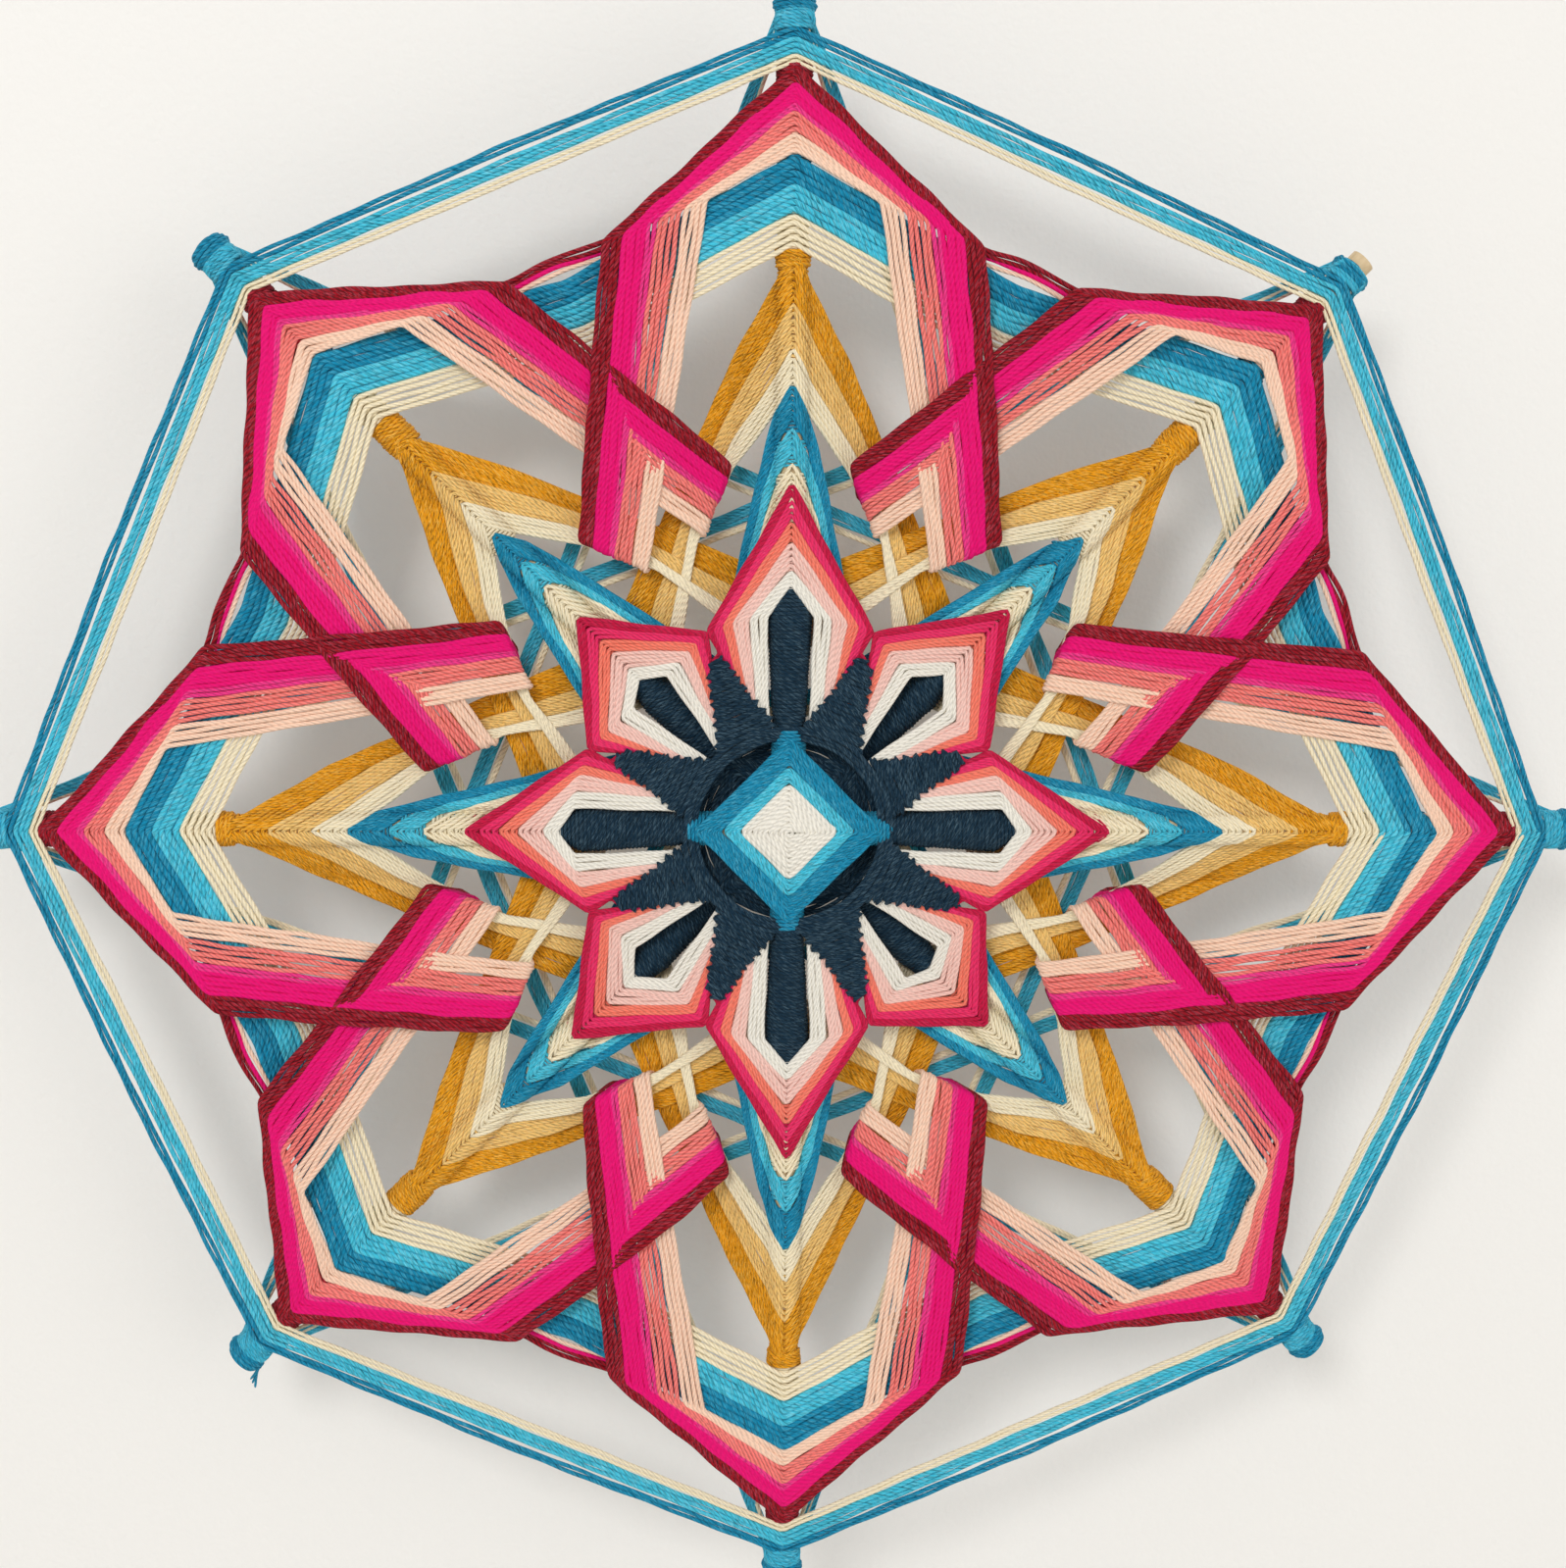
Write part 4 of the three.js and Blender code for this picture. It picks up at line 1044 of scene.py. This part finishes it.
# Blue caps of yarn on the dowel ends. One is wound short of its end, and one keeps a frayed tail.
BARE_END = 1
BARE_SHIFT = 3.2
CAP_LAYERS = (
    {"lap": -1.0, "short": 0.5, "height": 0.7, "yarn": 1.4, "pitch": 1.1},
    {"lap": 0.3, "short": 0.7, "height": 1.8, "yarn": 1.4, "pitch": 1.05},
    {"lap": 1.0, "short": 1.5, "height": 2.3, "yarn": 1.3, "pitch": 1.3},
)
CAP_STEP = 1.2
END_TURNS = 4
END_POINTS = 14
END_START = 1.5
END_MIDDLE = 0.4
END_SINK = 0.4
END_RISE = 1.3
END_YARN = 1.6
END_CUT = 0.6
END_STEP = 1.0
END_WANDER = 0.05
FRAYED_END = 5
FRAY_SPREADS = (-1.6, 0.2, 1.9)
FRAY_ROOT = (2.0, 5.6, 2.0)
FRAY_BEND = (4.5, 7.2, 1.0)
FRAY_BEND_SHARE = 0.5
FRAY_TIP = (8.0, 8.6, 0.0)
FRAY_YARN = 0.8
FRAY_CUT = 2.0
FRAY_STEP = 0.8


def end_spiral(k, end):
    """Turns of yarn that close the cap over the dowel end."""
    path = []
    count = END_TURNS * END_POINTS
    for i in range(count + 1):
        share = i / count
        radius = mix(DOWEL_RADIUS + END_START, END_MIDDLE, share)
        angle = 2 * math.pi * END_TURNS * share
        along = end - END_SINK + END_RISE * math.sin(share * math.pi / 2)
        path.append(place(k, along, radius * math.cos(angle), axis_of(k) + radius * math.sin(angle)))
    return path


def frayed_strand(k, start, i):
    """One of the loose strands that stand off the cap."""
    aside = FRAY_SPREADS[i]
    level = axis_of(k) - i
    root = place(k, start + FRAY_ROOT[0], FRAY_ROOT[1], level + FRAY_ROOT[2])
    bend = place(k, start + FRAY_BEND[0] + i, FRAY_BEND[1] + FRAY_BEND_SHARE * aside, level + FRAY_BEND[2])
    tip = place(k, start + FRAY_TIP[0] + i, FRAY_TIP[1] + aside, level + FRAY_TIP[2])
    return [root, bend, tip]


for k in range(SPOKES):
    cap = Skein()
    shift = BARE_SHIFT if k == BARE_END else 0.0
    start = DOWEL_END - CLEARANCE - CAP_LENGTH - shift
    end = DOWEL_END - CLEARANCE - shift
    for layer in CAP_LAYERS:
        span = (start + layer["lap"], end - layer["short"])
        height = round_dowel(layer["height"])
        cap.coil(k, span[0], span[1], height, layer["yarn"], layer["pitch"], step=CAP_STEP)
    if k != BARE_END:
        cap.lay(end_spiral(k, end), END_YARN, cut=END_CUT, step=END_STEP, wander=END_WANDER)
    if k == FRAYED_END:
        for i in range(len(FRAY_SPREADS)):
            cap.lay(frayed_strand(k, start, i), FRAY_YARN, cut=FRAY_CUT, step=FRAY_STEP)
    name = "cap_blue_" + str(k + 1)
    cap.piece(name + "_yarn", "dark_blue", [name])


# Eyes at the centre: squares of yarn round four spokes
EYE_SPANS = {"white": (0.6, 15.2), "light_blue": (15.7, 20.7), "dark_blue": (21.2, 29.4)}
EYE_STRANDS = {"white": 9, "light_blue": 4, "dark_blue": 7}
EYE_YARN = {"white": 1.9, "light_blue": 1.5, "dark_blue": 1.4}
EYE_TAIL_RADIUS = 5.0
EYE_CUT = 1.4
EYE_TURN = 1.4
DOME_HEIGHT = 3.2
DOME_POWER = 0.7
COLLAR_LAP = 0.6
COLLAR_HEIGHT = 0.7
COLLAR_YARN = 1.3
COLLAR_PITCH = 1.2
COLLAR_STEP = 1.4


def square_path(radius, forward, parity, behind=None):
    path = []
    for k in range(parity, parity + SPOKES + 1, 2):
        path.append(place(k, radius, 0.0, forward))
        if behind is not None and k < parity + SPOKES:
            path.append(place(k + 1, radius * math.cos(STEP), 0.0, behind))
    return with_tails(path, parity, radius, radius) if radius > EYE_TAIL_RADIUS else path


def dome(radius):
    """Level of the front eye's strands, raised towards the middle of its white."""
    slope = max(0.0, 1 - radius / EYE_SPANS["white"][1])
    return SEAT_UPRIGHT + DOME_HEIGHT * slope ** DOME_POWER


for colour, count in EYE_STRANDS.items():
    skein = Skein()
    start, end = EYE_SPANS[colour]
    for radius in spread((start, end), count):
        skein.lay(square_path(radius, dome(radius), 0), EYE_YARN[colour], cut=EYE_CUT)
        if radius > EYE_TAIL_RADIUS:
            for k in UPRIGHT_SPOKES:
                skein.back_turn(k, radius, EYE_TURN)
    if colour == "dark_blue":
        collar = (start, HUB_RING_RADIUS + COLLAR_LAP)
        coil_spokes(skein, collar, COLLAR_HEIGHT, COLLAR_YARN, COLLAR_PITCH, COLLAR_STEP, UPRIGHT_SPOKES)
    name = "eye_" + colour
    skein.piece(name + "_yarn", colour, [name])


# Rear eye on the diagonal cross, and rings that close it behind the hub: navy yarn whose dark colour is
# painted shade for the shadowed openings round the eye
REAR_EYE = (12.0, 30.2)
REAR_EYE_STRANDS = 10
REAR_EYE_YARN = 1.9
REAR_EYE_CUT = 2.0
REAR_EYE_TURN = 1.5
REAR_COLLAR_START = 9.0
REAR_COLLAR_LAP = 1.0
REAR_COLLAR_HEIGHT = 0.5
REAR_COLLAR_YARN = 1.1
REAR_SHADE_RINGS = (22.5, 29.5)
REAR_SHADE_RING_STRANDS = 5
REAR_SHADE_RING_YARN = 1.5
REAR_SHADE_RING_LEVEL = 0.2
RING_STEPS = 4
RING_CUT = 1.0


def ring_path(radius, level):
    """One turn round all the spokes."""
    return [place(i / RING_STEPS, radius, 0.0, level) for i in range(RING_STEPS * SPOKES + 1)]


rear_eye = Skein()
behind = axis_of(0) - DOWEL_RADIUS - CLEARANCE - BAND / 2
for radius in spread(REAR_EYE, REAR_EYE_STRANDS):
    rear_eye.lay(square_path(radius, SEAT_DIAGONAL, 1, behind), REAR_EYE_YARN, cut=REAR_EYE_CUT)
    for k in DIAGONAL_SPOKES:
        rear_eye.back_turn(k, radius, REAR_EYE_TURN)
collar = (REAR_COLLAR_START, HUB_RING_RADIUS + REAR_COLLAR_LAP)
coil_spokes(rear_eye, collar, REAR_COLLAR_HEIGHT, REAR_COLLAR_YARN, COLLAR_PITCH, spokes=DIAGONAL_SPOKES)
# Painted shade: dark navy rings stand in for the shadowed strands in the openings round the eye
for radius in spread(REAR_SHADE_RINGS, REAR_SHADE_RING_STRANDS):
    rear_eye.lay(ring_path(radius, REAR_SHADE_RING_LEVEL), REAR_SHADE_RING_YARN, cut=RING_CUT)
rear_eye.piece("eye_rear_navy_yarn", "navy", ["eye_rear_navy"])


# Navy ring at the hub and the zigzag ties, the fingers, that gather the petals
HUB_RADII = (29.0, 30.1, 31.2, 32.4)
HUB_DEPTHS = (1.9, 1.5, 1.0, 0.6)
HUB_YARN = 1.55
FINGER_SHARES = (0.0, 0.15, 0.3, 0.42, 0.64, 0.9, 1.0)
FINGER_UPRIGHT = (15.0, 12.5, 9.0, 6.8, 4.6, 2.6, 1.2)
FINGER_DIAGONAL = (20.0, 15.5, 12.2, 10.2, 7.4, 4.6, 2.0)
FINGER_START = 33.0
FINGER_TIP = 59.5
FINGER_ROWS = 18
FINGER_YARN = 1.5
FINGER_CUT = 0.8
UPPER_GAP = 1.5
UPPER_DEPTH = 0.3
UPPER_TURN = 0.7
UNDER_GAP = 2.5
UNDER_DEPTH = 0.9
UNDER_SHIFT = 0.8


def finger_edge(k, share, sign):
    """A place on one edge of the tie between spokes k and k + 1."""
    spoke = k if sign < 0 else k + 1
    angle = np.interp(share, FINGER_SHARES, FINGER_DIAGONAL if is_diagonal(spoke) else FINGER_UPRIGHT)
    return k + 0.5 + sign * math.radians(angle) / STEP


def finger_paths(k):
    """A zigzag that turns down at its edges, and a second one behind it that mirrors it."""
    upper = []
    under = []
    for i in range(FINGER_ROWS + 1):
        share = i / FINGER_ROWS
        sign = 1 if i % 2 else -1
        radius = mix(FINGER_START, FINGER_TIP - UPPER_GAP, share)
        edge = finger_edge(k, share, sign)
        upper.append(place(edge, radius, 0.0, SEAT_UPRIGHT - UPPER_DEPTH))
        upper.append(place(edge, radius + UPPER_TURN, 0.0, SEAT_UPRIGHT - UNDER_DEPTH))
        radius = mix(FINGER_START, FINGER_TIP - UNDER_GAP, share) + UNDER_SHIFT
        under.append(place(finger_edge(k, share, -sign), radius, 0.0, SEAT_UPRIGHT - UNDER_DEPTH))
    return upper, under


web = Skein()
for radius, depth in zip(HUB_RADII, HUB_DEPTHS):
    web.lay(ring_path(radius, SEAT_UPRIGHT - depth), HUB_YARN, cut=RING_CUT)
for k in range(SPOKES):
    for path in finger_paths(k):
        web.lay(path, FINGER_YARN, cut=FINGER_CUT)
web.piece("web_navy_yarn", "navy", ["web_navy"])


# Dowels keep their solids and get bare pale wood with grain
WOOD_PALE = linear((226, 204, 166))
WOOD_DARK = linear((188, 156, 112))
WOOD_STRETCH = (1.0, 6.0, 1.0)
WOOD_ROUGHNESS = 0.62
GRAIN_SCALE = 260
GRAIN_DETAIL = 4.0
PORE_SCALE = 1300
PORE_DETAIL = 2.0
PORE_ROUGHNESS = 0.2
PORE_BUMP = 0.25
PORE_DEPTH = 0.0002


def wood_finish():
    finish = Finish("dowel_wood")
    spot = finish.wire("ShaderNodeTexCoord", output="Object")
    stretch = finish.wire("ShaderNodeMapping", {}, {"Vector": spot, "Scale": WOOD_STRETCH})
    grain = finish.noise(GRAIN_SCALE, GRAIN_DETAIL, stretch)
    pores = finish.noise(PORE_SCALE, PORE_DETAIL, stretch)
    body = finish.blend(grain, WOOD_PALE, WOOD_DARK)
    finish.set(Base_Color=body, Roughness=WOOD_ROUGHNESS + (pores - 0.5) * PORE_ROUGHNESS)
    finish.bump(pores, PORE_BUMP, PORE_DEPTH)
    return finish.material


WOOD = wood_finish()
for name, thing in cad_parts.items():
    if name.startswith("dowel"):
        thing.data.materials.clear()
        thing.data.materials.append(WOOD)


# Stage: a pale wall close behind, seen from its front only, and a pale floor
WALL_PAINT = linear((226, 224, 220))
WALL_ROUGHNESS = 0.9
WALL_GLOW = (1.0, 0.98, 0.95, 1)
WALL_GLOW_STRENGTH = 0.1
WALL_GRAIN = 420
WALL_DETAIL = 4.0
WALL_BUMP = 0.3
WALL_BUMP_DEPTH = 0.001
FLOOR_PAINT = linear((232, 230, 226))
FLOOR_ROUGHNESS = 0.85
SEEN_RAYS = ("Is Camera Ray", "Is Glossy Ray", "Is Transmission Ray")
WALL_Y = 0.045
WALL_HALF = 2
WALL_TOP = 2
FLOOR_Z = -0.9
FLOOR_HALF = 4


def stage_plane(name, corners, material):
    mesh = bpy.data.meshes.new(name)
    mesh.from_pydata(corners, [], [(0, 1, 2, 3)])
    mesh.materials.append(material)
    thing = bpy.data.objects.new(name, mesh)
    bpy.context.scene.collection.objects.link(thing)
    return thing


def wall_finish():
    finish = Finish("painted_wall")
    rough = finish.noise(WALL_GRAIN, WALL_DETAIL)
    finish.set(Base_Color=WALL_PAINT, Roughness=WALL_ROUGHNESS)
    rays = [finish.wire("ShaderNodeLightPath", output=ray) for ray in SEEN_RAYS]
    seen = rays[0] + rays[1] + rays[2]
    # Painted glow: the wall emits a faint light that only camera, glossy and transmission rays see,
    # lightening the wall and the shadows cast on it
    finish.set(Emission_Color=finish.blend(seen, BLACK, WALL_GLOW), Emission_Strength=WALL_GLOW_STRENGTH)
    finish.bump(rough, WALL_BUMP, WALL_BUMP_DEPTH)
    seen_behind = finish.wire("ShaderNodeNewGeometry", output="Backfacing")
    clear = finish.node("ShaderNodeBsdfTransparent")
    sides = {0: seen_behind, 1: finish.shader.outputs[0], 2: clear.outputs[0]}
    both = finish.node("ShaderNodeMixShader", {}, sides)
    finish.link(both.outputs[0], finish.output.inputs["Surface"])
    return finish.material


def floor_finish():
    finish = Finish("pale_floor")
    finish.set(Base_Color=FLOOR_PAINT, Roughness=FLOOR_ROUGHNESS)
    return finish.material


SQUARE = ((-1, -1), (1, -1), (1, 1), (-1, 1))
WALL_CORNERS = [(x * WALL_HALF, WALL_Y, WALL_TOP if z > 0 else FLOOR_Z) for x, z in SQUARE]
FLOOR_CORNERS = [(x * FLOOR_HALF, y * FLOOR_HALF, FLOOR_Z) for x, y in SQUARE]
wall = stage_plane("wall", WALL_CORNERS, wall_finish())
wall.visible_shadow = False
stage_plane("floor", FLOOR_CORNERS, floor_finish())


# Soft light from the upper left, with a weaker one from the right and one for the back
LIGHTS = {
    "window_light": {"spot": (-0.7, -1.7, 1.0), "size": 0.6, "power": 17},
    "fill_light": {"spot": (1.5, -1.6, 0.2), "size": 1.5, "power": 9},
    "back_light": {"spot": (0.5, 1.8, 0.9), "size": 1.2, "power": 14},
}
ROOM_COLOUR = (1.0, 0.99, 0.97, 1.0)
ROOM_STRENGTH = 0.62


def soft_light(name, spot, size, power):
    light = bpy.data.lights.new(name, "AREA")
    light.size = size
    light.energy = power
    thing = bpy.data.objects.new(name, light)
    thing.location = spot
    thing.rotation_mode = "QUATERNION"
    thing.rotation_quaternion = (-Vector(spot)).to_track_quat("-Z", "Y")
    bpy.context.scene.collection.objects.link(thing)


for name, setting in LIGHTS.items():
    soft_light(name, setting["spot"], setting["size"], setting["power"])
world = bpy.data.worlds.new("soft_room")
world.use_nodes = True
background = world.node_tree.nodes["Background"]
background.inputs["Color"].default_value = ROOM_COLOUR
background.inputs["Strength"].default_value = ROOM_STRENGTH
bpy.context.scene.world = world
bpy.context.scene.view_settings.view_transform = "Standard"


# Camera at the viewing angle of the photograph
CAMERA_DISTANCE = 0.65
CAMERA_AZIMUTH = math.radians(-2.64)
CAMERA_ELEVATION = math.radians(8.6)
CAMERA_ROLL = math.radians(0.47)
CAMERA_TARGET = Vector((-0.0015, 0.0, 0.0136))
LENS_SHARE = 1.3165
SENSOR_WIDTH = 36
camera_data = bpy.data.cameras.new("camera")
camera_data.sensor_width = SENSOR_WIDTH
camera_data.lens = SENSOR_WIDTH * LENS_SHARE
camera = bpy.data.objects.new("camera", camera_data)
bpy.context.scene.collection.objects.link(camera)
level = math.cos(CAMERA_ELEVATION)
sideways = math.sin(CAMERA_AZIMUTH) * level
outwards = -math.cos(CAMERA_AZIMUTH) * level
back = Vector((sideways, outwards, math.sin(CAMERA_ELEVATION)))
turn = (-back).to_track_quat("-Z", "Y").to_matrix() @ Matrix.Rotation(CAMERA_ROLL, 3, "Z")
camera.matrix_world = Matrix.Translation(CAMERA_TARGET + back * CAMERA_DISTANCE) @ turn.to_4x4()
bpy.context.scene.camera = camera
